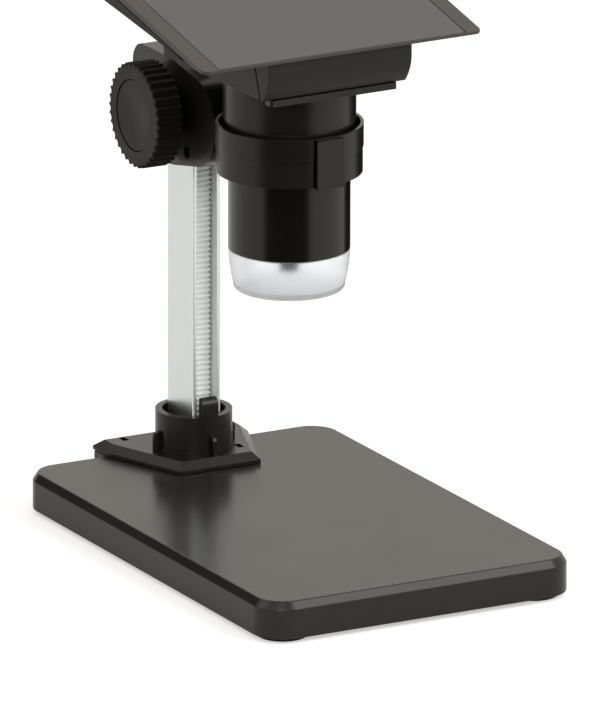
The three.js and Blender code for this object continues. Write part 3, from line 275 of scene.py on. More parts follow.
def curve_slope(along, start, middle, end):
    """How fast the value of on_curve changes there."""
    return 2 * (1 - along) * (middle - start) + 2 * along * (end - middle)


def set_down(piece, place):
    """Takes a piece from millimetres in its own frame to its place in the part, in metres."""
    return turn(piece, Matrix.Scale(MILLIMETRE, 4) @ place)


# Stand

def base_moulding():
    """The flat base: round corners, a chamfer round its top, hollow below, and a lug behind."""
    shell = slab("base_moulding", (-64.55, 64.55), (-97.5, 97.5), (1.8, 12.8), corner=12,
                 steps=24)
    pick(shell, lambda middle, normal: normal.z > 0.9)
    bpy.ops.mesh.inset(thickness=1.9, depth=3)
    leave()
    pick(shell, lambda middle, normal: normal.z < -0.9)
    bpy.ops.mesh.inset(thickness=2.6)
    bpy.ops.mesh.extrude_region_move(TRANSFORM_OT_translate={"value": (0, 0, 11.4)})
    leave()
    lug = block("lug", (-30, 30), (90, 105.1), (1.8, 15.8))
    lug_hollow = block("lug_hollow", (-27.4, 27.4), (97.5, 102.5), (0, 13.2))
    inside = block("inside", (-31, 31), (80, 94.9), (0, 13.2))
    join(shell, lug)
    cut(shell, lug_hollow, inside)
    return set_down(soften(shell, 0.4, guarded=False), BASE)


def foot_pads():
    """Four round rubber feet, each with a soft lower edge."""
    pad = lathe("rubber_pad_front_left", [(9.2, 0), (9.6, 0.5), (9.6, 2.3)], steps=96)
    soften(pad, 0.35)
    places = {
        "front_right": (52.2, -85.2),
        "rear_left": (-52.2, 85.2),
        "rear_right": (52.2, 85.2),
    }
    pads = {"front_left": pad}
    for corner, (x, y) in places.items():
        pads[corner] = copied(pad, f"rubber_pad_{corner}", moved(x, y))
    turn(pad, moved(-52.2, -85.2))
    for each in pads.values():
        set_down(each, BASE)
    return pads


def foot_rib(quarter):
    """One of the collar's four ribs, with its outer top corner rounded."""
    rib = block(f"rib_{quarter}", (12, 17.1), (-0.75, 0.75), (2.2, 11.3))
    pick(rib, lambda middle, along: middle.x > 17 and middle.z > 11.2, "EDGE")
    bpy.ops.mesh.bevel(offset=2, segments=6, affect="EDGES")
    leave()
    return turn(rib, turned_by(90 * quarter, "Z"))


def foot_moulding():
    """The column's foot: a six-sided bevelled plate with four slots, and on it a collar with a
    recess, four ribs and a tongue."""
    half_width = 30.2
    front_half_width = 17
    foot = block("foot_moulding", (-half_width, half_width), (-21.6, 24), (0.3, 1.6))
    pick_all(foot)
    bpy.ops.mesh.bisect(plane_co=(0, 13.4, 0), plane_no=(0, 1, 0))
    leave()
    pick(foot, lambda corner, normal: corner.y < -21, "VERT")
    bpy.ops.transform.resize(value=(front_half_width / half_width, 1, 1), center_override=(0, 0, 0))
    leave()
    pick(foot, lambda middle, normal: normal.z > 0.9)
    bpy.ops.mesh.inset(thickness=3.3, depth=2.7)
    leave()
    collar = post("collar", 14.5, 0.5, 18.7)
    ledge = post("collar_ledge", 15.1, 0.5, 5.4)
    tongue = block("tongue", (-3.35, 3.35), (-13.4, -8), (3, 25.5))
    pick(tongue, lambda middle, along: middle.y < -13.3 and middle.z > 25.4, "EDGE")
    bpy.ops.mesh.bevel(offset=2.8, segments=8, affect="EDGES")
    leave()
    slots = [(24.4, 18), (-20.2, 18), (14, -9.7), (-9.8, -9.7)]
    cut(foot, *[
        block("slot", (x - 1.2, x + 1.2), (y - 2.3, y + 2.3), (1.6, 6)) for x, y in slots])
    cut(collar, post("recess", 11.9, 15.7, 20))
    join(foot, collar, ledge, tongue, *[foot_rib(quarter) for quarter in range(4)])
    cut(foot, block("socket", (-6.2, 6.2), (-10.5, 10.5), (2.3, 30)))
    return set_down(soften(foot, 0.35), COLUMN)


def column_profile():
    """The extruded column: a C-section with its channel in front."""
    column = slab(
        "column_profile", (-COLUMN_HALF_WIDTH, COLUMN_HALF_WIDTH),
        (-COLUMN_HALF_DEPTH, COLUMN_HALF_DEPTH), (COLUMN_BOTTOM, COLUMN_TOP), corner=0.6, steps=3)
    cut(
        column,
        block("channel", (-4.2, 4.2), (-12, -2.2), (0, 200)),
        post("bore", 2.2, 0, 200, y=COLUMN_BORE_Y, sides=32),
    )
    return set_down(soften(column, 0.25, segments=2), COLUMN)


def rack_strip():
    """The toothed strip in the channel. One tooth is made and repeated at the rack's pitch."""
    half_width = 3.9
    tooth = block("rack_strip", (-half_width, half_width), (-6.2, -4.5), (4.7, 6.3))
    pick(tooth, lambda middle, normal: normal.y < -0.9)
    bpy.ops.transform.resize(value=(1, 1, 0.45), center_override=(0, 0, 5.5))
    leave()
    only(tooth)
    row = tooth.modifiers.new("row", "ARRAY")
    row.count = 92
    row.use_relative_offset = False
    row.use_constant_offset = True
    row.constant_offset_displace = (0, 0, RACK_PITCH)
    bpy.ops.object.modifier_apply(modifier=row.name)
    join(tooth, block("strip", (-half_width, half_width), (-4.85, -2.5),
                      (COLUMN_BOTTOM, COLUMN_TOP)))
    return set_down(soften(tooth, 0.08, segments=1), COLUMN)


def column_plug():
    """The plastic plug that closes the top of the column."""
    plug = slab(
        "column_plug", (-COLUMN_HALF_WIDTH, COLUMN_HALF_WIDTH),
        (-COLUMN_HALF_DEPTH, COLUMN_HALF_DEPTH), (190.3, 192.9), corner=1.2, steps=5)
    join(plug, post("stem", 1.9, 183.3, 191, y=COLUMN_BORE_Y, sides=24))
    return set_down(soften(plug, 0.7, segments=4), COLUMN)


# Carriage

# Where the three screws that hold the halves together stand, along and up from the carriage's middle.
SCREW_PLACES = {"front": (-26.2, -12.8), "rear_upper": (13.7, 10.4), "rear_lower": (13.7, -10.4)}


def carriage_screws():
    """Three socket screws in the left half's counterbores, made upright once and copied."""
    screw = post("screw", 2, 0, 1.8, sides=48)
    cut(screw, post("socket", 1.15, 0.8, 3, sides=6))
    join(screw, post("shank", 1.4, -24, 0.5, sides=32))
    soften(screw, 0.18, segments=2)
    made = {}
    for place, (y, z) in SCREW_PLACES.items():
        lie = moved(-13.3, y, z) @ TO_LEFT
        made[place] = set_down(copied(screw, f"carriage_bolt_{place}", lie), CARRIAGE)
    bpy.data.objects.remove(screw)
    return made


def carriage_moulding(name, side):
    """One moulded half of the carriage, on the side of X that the sign gives."""
    inner, outer = 0.15 * side, 17 * side
    half = axle(name, 20.4, inner, outer, y=SHAFT_Y, sides=128)
    others = [
        axle("front_round", 17, inner, outer, y=-31.2, z=0.4, sides=128),
        axle("upper_round", 8, inner, outer, y=8.7, z=12.4, sides=128),
        axle("lower_round", 8, inner, outer, y=8.7, z=-12.4, sides=128),
    ]
    only(half, *others)
    bpy.ops.object.join()
    pick_all(half)
    bpy.ops.mesh.convex_hull()
    bpy.ops.mesh.dissolve_limited(angle_limit=math.radians(0.5))
    leave()
    join(half, axle("boss", 9, 15 * side, 21.2 * side, y=SHAFT_Y, sides=96))
    cut(
        half,
        block("column_way", (-6.2, 6.2), (-10.5, 12), (-22, 22)),
        post("ring_bed", 27.7, -22, 22, y=-74.75, sides=160),
        block("tang_pocket", (-5.8, 5.8), (-60, -35.55), (-7.45, 7.15)),
        axle("pinion_room", 8.3, -4.4, 4.4, y=SHAFT_Y, sides=48),
        axle("shaft_bore", 2.3, -1, 23 * side, y=SHAFT_Y, sides=32),
        axle("bush_bore", 3.8, 9 * side, 23 * side, y=SHAFT_Y, sides=32),
    )
    for y, z in SCREW_PLACES.values():
        cut(half, axle("screw_bore", 1.6, -1 * side, 12.5 * side, y, z, sides=24))
        if side < 0:
            cut(half, axle("counterbore", 2.4, 12 * side, 18 * side, y, z, sides=32))
    join(half, axle("peg", 1.9, inner, 6.5 * side, y=-41.6, z=-0.15, sides=24))
    return set_down(soften(half, 0.45), CARRIAGE)


def clamp_ring():
    """The split ring: a thin upper band over a thicker lower one, a flat tab in front beside the
    split, and the tang behind."""
    ring = lathe("clamp_ring", [
        (RING_BORE, -9.4), (27.1, -9.4), (27.1, 0.2), (27.4, 0.5), (27.4, 9.1), (26.2, 9.1),
        (26.2, 0.5), (RING_BORE, 0.5), (RING_BORE, -9.4),
    ], steps=160)
    tab = turn(block("tab", (-5.8, 5.8), (-28.7, -23.5), (-9.9, 8.6)), turned_by(3.6, "Z"))
    tang = block("tang", (-5.5, 5.5), (26.6, 38.9), (-7.15, 6.85))
    join(ring, tab, tang)
    split = turn(block("split", (-0.35, 0.35), (-30, -21), (-11, 10)), turned_by(-8.4, "Z"))
    cut(
        ring,
        post("lower_bore", RING_BORE, -12, 1, sides=160),
        post("upper_bore", 26.2, 0.5, 12, sides=160),
        split,
        axle("peg_hole", 2.2, -10, 10, y=33.15, z=-0.15, sides=24),
    )
    return set_down(soften(ring, 0.22, segments=2), RING)


# Knobs

def knob_moulding():
    """A fluted knob made upright, its outer face on top: narrow ridges between wide scoops."""
    radius = 20
    flutes = 36
    # How deep the scoop is at each corner, from one ridge to the next.
    depths = (0, 0.35, 0.95, 1.25, 1.3, 1.25, 0.95, 0.35)
    per_flute = len(depths)
    bpy.ops.mesh.primitive_circle_add(
        vertices=per_flute * flutes, radius=radius, fill_type="NGON", location=(0, 0, 21.6))
    knob = fresh("knob_moulding")
    for phase in range(1, per_flute):
        def in_phase(corner, normal):
            turns = math.atan2(corner.y, corner.x) / (2 * math.pi)
            return round(turns * per_flute * flutes) % per_flute == phase
        pick(knob, in_phase, "VERT")
        scale = (radius - depths[phase]) / radius
        bpy.ops.transform.resize(value=(scale, scale, 1), center_override=(0, 0, 0))
        leave()
    pick_all(knob)
    bpy.ops.mesh.extrude_region_move(TRANSFORM_OT_translate={"value": (0, 0, 10.2)})
    bpy.ops.mesh.inset(thickness=0.4, depth=0.4)
    bpy.ops.mesh.select_all(action="SELECT")
    bpy.ops.mesh.normals_make_consistent(inside=False)
    leave()
    back_ring = lathe("back_ring", [
        (5.4, 20), (16.2, 20), (16.2, 25.6), (5.4, 25.6), (5.4, 20)], steps=64)
    cut(
        knob,
        back_ring,
        post("cap_seat", 13.65, 30.6, 34),
        post("screw_seat", 3.3, 28.5, 31, sides=32),
        post("screw_bore", 1.4, 25, 29, sides=24),
        post("shaft_bore", 2.3, 20, 27.1, sides=24),
    )
    return soften(knob, 0.12, segments=2, angle=35)


def knob_disc():
    """The inlaid disc of a knob, dished a little towards its middle."""
    disc = lathe("knob_disc", [
        (13.35, 30.9), (13.35, 31.9), (11.5, 31.83), (9, 31.66), (6.5, 31.46), (4, 31.3),
        (2, 31.22), (0.5, 31.2),
    ], steps=96)
    return soften(disc, 0.15, segments=2)


def knob_pair():
    """The two knobs and their discs, each made once and copied to the other side."""
    knob = knob_moulding()
    disc = knob_disc()
    left_knob = copied(knob, "left_knob", TO_LEFT)
    left_disc = copied(disc, "left_knob_disc", TO_LEFT)
    turn(knob, TO_RIGHT)
    turn(disc, TO_RIGHT)
    knob.name = "right_knob"
    disc.name = "right_knob_disc"
    return [set_down(piece, SHAFT) for piece in (left_knob, knob, left_disc, disc)]


# Barrel

def neck_moulding():
    """The collar under the head, with the flange that rests in the ring, the plate on top and the
    plate's turned-down front edge."""
    neck = lathe("neck_moulding", [
        (NECK_BORE, -7.2), (BARREL_RADIUS, -7.2), (BARREL_RADIUS, 0.3), (25.7, 0.3), (25.7, 2.8),
        (24.2, 2.8), (24.2, 10.8), (24.6, 10.8), (24.6, 27.3), (NECK_BORE, 27.3),
        (NECK_BORE, -7.2),
    ])
    plate = slab("neck_plate", (-25.6, 25.6), (-32.6, 30), (26.3, 27.3), corner=3, steps=6)
    edge = slab("neck_edge", (-27.1, 26.5), (-32.9, -28), (25.1, 27.55), corner=1, steps=4)
    pick(edge, lambda middle, along_edge: middle.z < 25.2 and abs(along_edge.y) > 0.9, "EDGE")
    bpy.ops.mesh.bevel(offset=0.7, segments=4, affect="EDGES")
    leave()
    join(neck, plate, edge)
    cut(neck, post("bore", NECK_BORE, 26, 28))
    return set_down(soften(neck, 0.2, segments=2), BARREL)


def sleeve_moulding():
    """The polished focus sleeve, with the spigot that turns inside the neck."""
    sleeve = lathe("sleeve_moulding", [
        (20.45, -39.3), (BARREL_RADIUS, -39.3), (BARREL_RADIUS, -7.5), (18.9, -7.5), (18.9, 6),
        (17, 6), (17, -10.5), (20.45, -10.5), (20.45, -39.3),
    ])
    return set_down(soften(sleeve, 0.2, segments=3), BARREL)


def frosted_cap():
    """The frosted cap under the lamp: its wall swells towards the top, and a fine groove runs over
    its round lower edge."""
    edge_radius = 1.7
    skin = []
    for step in range(7):
        angle = math.radians(15 * step)
        skin.append((19 + edge_radius * math.sin(angle), -53.2 - edge_radius * math.cos(angle)))
    skin += [(20.78, -52.5), (20.6, -52.35), (20.85, -52.1)]
    for step in range(1, 9):
        along = step / 8
        radius = on_curve(along, 20.85, 22.5, 22.5)
        height = on_curve(along, -52.1, -45.2, -39.6)
        skin.append((radius, height))
    cap = lathe("frosted_cap", [
        (0.5, -54.9), (8, -54.9), *skin, (20.15, -39.6), (20.15, -36.65), (18.95, -36.65),
        (18.2, -52.9), (8, -52.9), (0.5, -52.9),
    ])
    return set_down(soften(cap, 0.15, segments=2, angle=40), BARREL)


def lens_mount():
    """The dark tube that holds the lens over the work."""
    mount = lathe("lens_mount", [
        (2.9, -47.6), (3.6, -47.6), (3.6, -33.4), (6, -31), (6, -5), (16.7, -5), (16.7, 3),
        (4.5, 3), (4.5, -31), (2.2, -33.4), (2.2, -46), (2.9, -46), (2.9, -47.6),
    ], steps=64)
    return set_down(soften(mount, 0.12, segments=2), BARREL)


# Head

def screen_wedge(name, front, rear, wall=0, floor=0, lift=0):
    """The body under the lid between two depths: a leaning top and a belly that slopes in below."""
    tangent = math.tan(math.radians(SCREEN_LEAN))
    # The cosine of the lean, and the lid with the gap below it, 2.3 mm in all, measured straight down.
    cosine = 0.9732
    lid_and_gap = 2.363
    half = LID_HALF_WIDTH - wall
    behind = front - SCREEN_Y
    screen_height = SCREEN_Z + behind * tangent
    top = screen_height - lid_and_gap + lift
    low = screen_height - (LID_EDGE + LID_TAPER * behind) / cosine + floor
    body = block(name, (-half, half), (front, rear), (43.1 + floor, 70))
    plane_off(body, (0, front, top), (0, -tangent, 1))
    slope = tangent - LID_TAPER / cosine
    for side in (-1, 1):
        outward = Vector((0.5 * side, slope, -1))
        plane_off(body, (half * side, front, low), outward)
    return body


def head_moulding():
    """The hull under the screen and the wide wedge that carries the lid, hollow inside."""
    def hull(name, inset, top, corner):
        piece = slab(
            name, (inset - HULL_HALF_WIDTH, HULL_HALF_WIDTH - inset), (inset - 32, 42.5 - inset),
            (HULL_FLOOR + inset, top), corner, steps=6)
        return plane_off(piece, (0, inset - 30.1, HULL_FLOOR), (0, -1, HULL_RAKE))

    head = hull("head_moulding", inset=0, top=44.1, corner=3)
    pick(head, lambda middle, normal: normal.z < -0.9)
    bpy.ops.mesh.bevel(offset=0.8, segments=3, affect="EDGES")
    leave()
    join(head, screen_wedge("wedge", -24.45, 48.386))
    cut(
        head,
        hull("hull_hollow", inset=1.8, top=45.1, corner=2),
        screen_wedge("wedge_hollow", -20.85, 46.586, wall=1.8, floor=1, lift=1),
        post("light_bore", NECK_BORE, 26, 31),
        block("socket_hole", (27, 32), (-10.1, -1.9), (39.3, 42.6)),
        block("card_hole", (27, 32), (8.7, 23.3), (39.3, 41.7)),
    )
    return set_down(soften(head, 0.3, segments=3, angle=20, guarded=False), BARREL)


def cover_moulding():
    """The front cover of the hull, shaved along a curve under the screen's edge."""
    front = -36.9
    bottom = 27.8
    cover = block(
        "cover_moulding", (-HULL_HALF_WIDTH, HULL_HALF_WIDTH), (front, -24), (bottom, 42.8))
    plane_off(cover, (0, -30.9, HULL_FLOOR), (0, 1, -HULL_RAKE))
    # The curve starts upright on the front face and ends at the bottom.
    depths = (front, front, -32.4)
    heights = (38.5, 33.15, bottom)
    flats = 12
    for step in range(1, flats):
        along = step / flats
        point = (0, on_curve(along, *depths), on_curve(along, *heights))
        outward = (0, curve_slope(along, *heights), -curve_slope(along, *depths))
        plane_off(cover, point, outward)
    return set_down(soften(cover, 0.3, segments=3, angle=20), BARREL)


def key_places():
    """Where the keys stand across, from left to right."""
    return [(index - (KEY_COUNT - 1) / 2) * KEY_SPACING for index in range(KEY_COUNT)]


def lid_moulding():
    """The lid round the screen: thin at its front edge, with a seat for the glass, a window under
    it and six key holes."""
    lid = slab("lid_moulding", (-LID_HALF_WIDTH, LID_HALF_WIDTH), (0, 90), (-2, 0), corner=2.5,
               steps=8)
    plane_off(lid, (0, 0, -LID_EDGE), (0, -LID_TAPER, -1))
    holes = [
        slab("key_hole", (x - 4.5, x + 4.5), (KEY_ROW_Y - 3, KEY_ROW_Y + 3), (-3, 1), corner=1.8,
             steps=6)
        for x in key_places()
    ]
    cut(
        lid,
        slab("glass_seat", (-52.4, 52.4), (0.5, 74.1), (-0.95, 1), corner=1, steps=4),
        block("window", (-48.3, 48.3), (21.5, 73), (-3, 1)),
        *holes,
    )
    return set_down(soften(lid, 0.2, segments=2), SCREEN)


def screen_pane():
    """The pane over the display."""
    pane = slab("screen_pane", (-52.1, 52.1), (0.8, 73.8), (-0.65, -0.05), corner=1, steps=6)
    return set_down(soften(pane, 0.12, segments=2), SCREEN)


def keys():
    """Six rubber keys in a row, each with a crowned top, made once and copied."""
    key = slab("key", (-4.2, 4.2), (KEY_ROW_Y - 2.7, KEY_ROW_Y + 2.7), (-2.8, 0.8), corner=1.8,
               steps=8)
    pick(key, lambda middle, normal: normal.z > 0.9)
    bpy.ops.mesh.inset(thickness=0.9, depth=0.3)
    leave()
    join(
        key,
        slab("key_flange", (-5.1, 5.1), (KEY_ROW_Y - 3.6, KEY_ROW_Y + 3.6), (-3.3, -2.3),
             corner=1.8, steps=4),
        post("key_stem", 1.5, -4.5, -2.5, y=KEY_ROW_Y, sides=24),
    )
    soften(key, 0.35, segments=3)
    made = [copied(key, f"key_{index + 1}", moved(x)) for index, x in enumerate(key_places())]
    bpy.data.objects.remove(key)
    return [set_down(piece, SCREEN) for piece in made]


def port_shell(name, along, upright, depth, wall):
    """A pressed steel socket in the hull's side, open to the outside, with its tongue in it."""
    shell = block(name, (HULL_HALF_WIDTH - depth, HULL_HALF_WIDTH), along, upright)
    pick(shell, lambda middle, along_edge: abs(along_edge.x) > 0.9, "EDGE")
    bpy.ops.mesh.bevel(offset=wall * 1.4, segments=3, affect="EDGES")
    leave()
    pick(shell, lambda middle, normal: normal.x > 0.9)
    bpy.ops.mesh.inset(thickness=wall)
    bpy.ops.mesh.extrude_region_move(TRANSFORM_OT_translate={"value": (1.8 - depth, 0, 0)})
    leave()
    near, far = along
    middle = sum(upright) / 2
    tongue = block(
        "tongue", (HULL_HALF_WIDTH + 1 - depth, HULL_HALF_WIDTH - 1),
        (near + 2.2 * wall, far - 2.2 * wall), (middle - 0.3, middle + 0.3))
    join(shell, tongue)
    return set_down(soften(shell, 0.08, segments=1), BARREL)


# Finishes

def linear(text):
    """An sRGB hex colour as the linear values that a shader takes."""
    values = [int(text[place:place + 2], 16) / 255 for place in (0, 2, 4)]
    bent = [v / 12.92 if v <= 0.04045 else ((v + 0.055) / 1.055) ** 2.4 for v in values]
    return (*bent, 1)


def per_mm(size):
    """The scale of a pattern on Object coordinates in metres, from its size in millimetres."""
    return 1 / (size * MILLIMETRE)


def add(tree, kind, sockets=(), **settings):
    """Adds a node, makes its settings, and gives each socket a value or a link from another."""
    node = tree.nodes.new(kind)
    for name, value in settings.items():
        setattr(node, name, value)
    for name, value in dict(sockets).items():
        if isinstance(value, bpy.types.NodeSocket):
            tree.links.new(value, node.inputs[name])
        else:
            node.inputs[name].default_value = value
    return node


def new_finish(name, **shader_values):
    """A material with one shader, its plain values on the shader's own sockets. Gives back the
    material, its tree, the shader and the piece's own coordinates."""
    finish = bpy.data.materials.new(name)
    finish.use_nodes = True
    tree = finish.node_tree
    shader = tree.nodes["Principled BSDF"]
    for socket, value in shader_values.items():
        shader.inputs[socket.replace("_", " ")].default_value = value
    place = add(tree, "ShaderNodeTexCoord").outputs["Object"]
    return finish, tree, shader, place


def feed(tree, shader, **sources):
    for socket, source in sources.items():
        tree.links.new(source, shader.inputs[socket.replace("_", " ")])


def moulded(name, dark, light, roughness, grain, depth, **shader_values):
    """A moulded plastic: two close tones where the melt flowed, the mould's grain in millimetres
    as a bump of a given depth, and a roughness that follows the flow."""
    finish, tree, shader, place = new_finish(name, **shader_values)
    flow = add(tree, "ShaderNodeTexNoise", {"Vector": place, "Scale": per_mm(22), "Detail": 3})
    tone = add(tree, "ShaderNodeMix", {0: flow.outputs["Fac"], 6: linear(dark), 7: linear(light)},
               data_type="RGBA")
    sheen = add(tree, "ShaderNodeMapRange", {
        "Value": flow.outputs["Fac"], "From Min": 0.3, "From Max": 0.7,
        "To Min": 0.92 * roughness, "To Max": 1.08 * roughness})
    texture = add(tree, "ShaderNodeTexNoise", {"Vector": place, "Scale": per_mm(grain), "Detail": 2})
    bump = add(tree, "ShaderNodeBump", {
        "Height": texture.outputs["Fac"], "Distance": depth * MILLIMETRE, "Strength": 1})
    feed(tree, shader, Base_Color=tone.outputs[2], Roughness=sheen.outputs["Result"],
         Normal=bump.outputs["Normal"])
    return finish


def metal(name, colour, roughness, stretch, line, depth):
    """A drawn or turned metal: lines of a given width in millimetres, stretched along one axis."""
    finish, tree, shader, place = new_finish(name, Metallic=1, Base_Color=linear(colour))
    run = add(tree, "ShaderNodeMapping", {"Vector": place, "Scale": stretch})
    lines = add(tree, "ShaderNodeTexNoise", {
        "Vector": run.outputs["Vector"], "Scale": per_mm(line), "Detail": 3})
    sheen = add(tree, "ShaderNodeMapRange", {
        "Value": lines.outputs["Fac"], "From Min": 0.3, "From Max": 0.7,
        "To Min": 0.85 * roughness, "To Max": 1.15 * roughness})
    bump = add(tree, "ShaderNodeBump", {
        "Height": lines.outputs["Fac"], "Distance": depth * MILLIMETRE, "Strength": 1})
    feed(tree, shader, Roughness=sheen.outputs["Result"], Normal=bump.outputs["Normal"])
    return finish


# ABS from a spark-eroded mould: an even fine grain that turns gloss into a soft sheen. The grain is
# really about 0.1 mm and is drawn coarser, to show.
eroded_abs = moulded("eroded ABS, black", "1e1b19", "24201d", roughness=0.23, grain=0.5,
                     depth=0.005, Specular_IOR_Level=0.27)
# The same ABS from a smoother mould: a clearer sheen on the foot and the carriage.
satin_abs = moulded("satin ABS, black", "0d0c0b", "100f0e", roughness=0.3, grain=0.7, depth=0.006,
                    Specular_IOR_Level=0.34)
# Glass-filled nylon: the fibres at the skin leave it dull and slightly mottled.
filled_nylon = moulded("glass-filled nylon, black", "12100f", "171513", roughness=0.5, grain=0.6,
                       depth=0.012, Specular_IOR_Level=0.24)
# Acetal from a polished mould: deep black with a broad clear reflection.
polished_acetal = moulded("polished acetal, black", "090808", "0b0a09", roughness=0.22, grain=2,
                          depth=0.003, Specular_IOR_Level=0.4)
# ABS and polycarbonate with a soft matt lacquer: smooth, grey-black, no sharp reflection.
lacquered_abs = moulded("matt lacquered ABS", "1b1a19", "201f1e", roughness=0.4, grain=0.6,
                        depth=0.006, Specular_IOR_Level=0.2)
# The lid's strip has the same lacquer in a warmer tone.
lid_lacquer = moulded("matt lacquered ABS, warm", "35312e", "3a3633", roughness=0.42, grain=0.6,
                      depth=0.006, Specular_IOR_Level=0.4)
# Acetal in its natural colour, moulded in the rack: pale, slightly waxy.
pale_acetal = moulded("natural acetal", "eef2f1", "f4f8f7", roughness=0.42, grain=1.5, depth=0.002)
# Cast nylon strip: cream and dull.
cream_nylon = moulded("natural nylon", "d8d4c8", "e2dfd4", roughness=0.55, grain=1.2, depth=0.01)
# Nitrile rubber: very dark, dull, with a slight bloom.
nitrile = moulded("nitrile rubber", "121212", "181818", roughness=0.8, grain=0.8, depth=0.02,
                  Specular_IOR_Level=0.3)
# Silicone keys: dark, with a soft skin.
silicone = moulded("silicone rubber, black", "1b1a1a", "201f1f", roughness=0.6, grain=0.6,
                   depth=0.008)

# Extruded aluminium, satin anodised: fine upright die lines and a soft silver sheen. The lines are
# really a few hundredths of a millimetre wide and are drawn coarser.
anodised = metal("satin anodised aluminium", "e3e8e7", roughness=0.34, stretch=(1, 1, 0.02),
                 line=0.5, depth=0.003)
# Zinc-plated steel: bright grey, slightly clouded by the plating.
zinc_steel = metal("zinc-plated steel", "a9a9a6", roughness=0.34, stretch=(1, 1, 1), line=1.5,
                   depth=0.004)
# Screws blackened by oxide: the steel shows only as a dark sheen.
black_steel = metal("black oxide steel", "2b2a29", roughness=0.4, stretch=(1, 1, 1), line=0.8,
                    depth=0.004)
# Turned brass: rings round the bar show as fine lines across it.
turned_brass = metal("turned brass", "c39a55", roughness=0.3, stretch=(0.05, 1, 1), line=0.4,
                     depth=0.004)
# Hot-rolled steel plate with a thin grey paint.
painted_plate = metal("painted steel plate", "4a4a4a", roughness=0.6, stretch=(1, 1, 1), line=3,
                      depth=0.02)


def frosted_polycarbonate():
    """Polycarbonate with a frosted skin: milky, lets light through and blurs what is behind."""
    finish, tree, shader, place = new_finish(
        "frosted polycarbonate", IOR=1.3, Transmission_Weight=1)
    cloud = add(tree, "ShaderNodeTexNoise", {"Vector": place, "Scale": per_mm(15), "Detail": 2})
    tone = add(tree, "ShaderNodeMix", {
        0: cloud.outputs["Fac"], 6: linear("f6f9fb"), 7: linear("f9fcfe")}, data_type="RGBA")
    frost = add(tree, "ShaderNodeTexNoise", {"Vector": place, "Scale": per_mm(0.4), "Detail": 2})
    bump = add(tree, "ShaderNodeBump", {
        "Height": frost.outputs["Fac"], "Distance": 0.006 * MILLIMETRE, "Strength": 1})
    rough = add(tree, "ShaderNodeMapRange", {
        "Value": frost.outputs["Fac"], "To Min": 0.3, "To Max": 0.4})
    feed(tree, shader, Base_Color=tone.outputs[2], Normal=bump.outputs["Normal"],
         Roughness=rough.outputs["Result"])
    return finish


def lens_glass():
    """Optical glass with a faint coating, smooth but for the finest polish."""
    finish, tree, shader, place = new_finish(
        "coated optical glass", IOR=1.52, Transmission_Weight=1, Roughness=0.03)
    polish = add(tree, "ShaderNodeTexNoise", {"Vector": place, "Scale": per_mm(1), "Detail": 1})
    tone = add(tree, "ShaderNodeMix", {
        0: polish.outputs["Fac"], 6: linear("dfe9ee"), 7: linear("e9e4f0")}, data_type="RGBA")
    feed(tree, shader, Base_Color=tone.outputs[2])
    return finish


def screen_acrylic():
    """Acrylic over a display that is off: dark grey behind a clear, slightly uneven gloss."""
    finish, tree, shader, place = new_finish("acrylic over a dark display", IOR=1.49)
    wave = add(tree, "ShaderNodeTexNoise", {"Vector": place, "Scale": per_mm(30), "Detail": 1})
    tone = add(tree, "ShaderNodeMix", {
        0: wave.outputs["Fac"], 6: linear("3b3b3c"), 7: linear("3f3f40")}, data_type="RGBA")
    smear = add(tree, "ShaderNodeMapRange", {
        "Value": wave.outputs["Fac"], "To Min": 0.1, "To Max": 0.16})
    feed(tree, shader, Base_Color=tone.outputs[2], Roughness=smear.outputs["Result"])
    return finish


def circuit_laminate():
    """Glass-epoxy board under green solder resist: the weave of the glass cloth shows faintly."""
    finish, tree, shader, place = new_finish("glass-epoxy board", Coat_Weight=0.4)
    weave = add(tree, "ShaderNodeTexChecker", {
        "Vector": place, "Scale": per_mm(0.8), "Color1": linear("17472f"), "Color2": linear("1c5237")})
    stain = add(tree, "ShaderNodeTexNoise", {"Vector": place, "Scale": per_mm(9), "Detail": 4})
    rough = add(tree, "ShaderNodeMapRange", {
        "Value": stain.outputs["Fac"], "To Min": 0.35, "To Max": 0.6})
    bump = add(tree, "ShaderNodeBump", {
        "Height": weave.outputs["Fac"], "Distance": 0.01 * MILLIMETRE, "Strength": 0.5})
    feed(tree, shader, Base_Color=weave.outputs["Color"], Roughness=rough.outputs["Result"],
         Normal=bump.outputs["Normal"])
    return finish


frosted = frosted_polycarbonate()
optical = lens_glass()
acrylic = screen_acrylic()
laminate = circuit_laminate()
# Aluminium laminate of the cell's pouch: soft creases of about 6 mm.
pouch_foil = metal("aluminium pouch foil", "b4b8bb", roughness=0.32, stretch=(1, 1, 1), line=6,
                   depth=0.15)
# Liquid crystal display that is off, behind its polariser.
dark_display = moulded("display, switched off", "101113", "131416", roughness=0.18, grain=4,
                       depth=0.001)


# The pieces in their finishes, each on the body that carries it

def dress(piece, finish, body, slot, *nodes):
    """Gives a piece its finish and the body it rides on, and hides the solids it stands for. The slot
    is not used.
    """
    piece.data.materials.clear()
    piece.data.materials.append(finish)
    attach(piece, body)
    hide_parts(*nodes)


dress(base_moulding(), eroded_abs, "stand", "stand_black", "base_shell")
for corner, pad in foot_pads().items():
    dress(pad, nitrile, "stand", "rubber", f"rubber_foot_{corner}")
dress(foot_moulding(), satin_abs, "stand", "stand_black", "column_foot")
dress(column_profile(), anodised, "stand", "aluminium", "column")
dress(rack_strip(), pale_acetal, "stand", "rack_nylon", "rack")
dress(column_plug(), satin_abs, "stand", "cover_black", "column_cap")

dress(carriage_moulding("left_carriage_half", -1), satin_abs, "carriage", "stand_black",
      "carriage_left")
dress(carriage_moulding("right_carriage_half", 1), satin_abs, "carriage", "stand_black",
      "carriage_right")
for place, screw in carriage_screws().items():
    dress(screw, black_steel, "carriage", "steel", f"carriage_screw_{place}")
dress(clamp_ring(), satin_abs, "carriage", "cover_black", "ring_clamp")

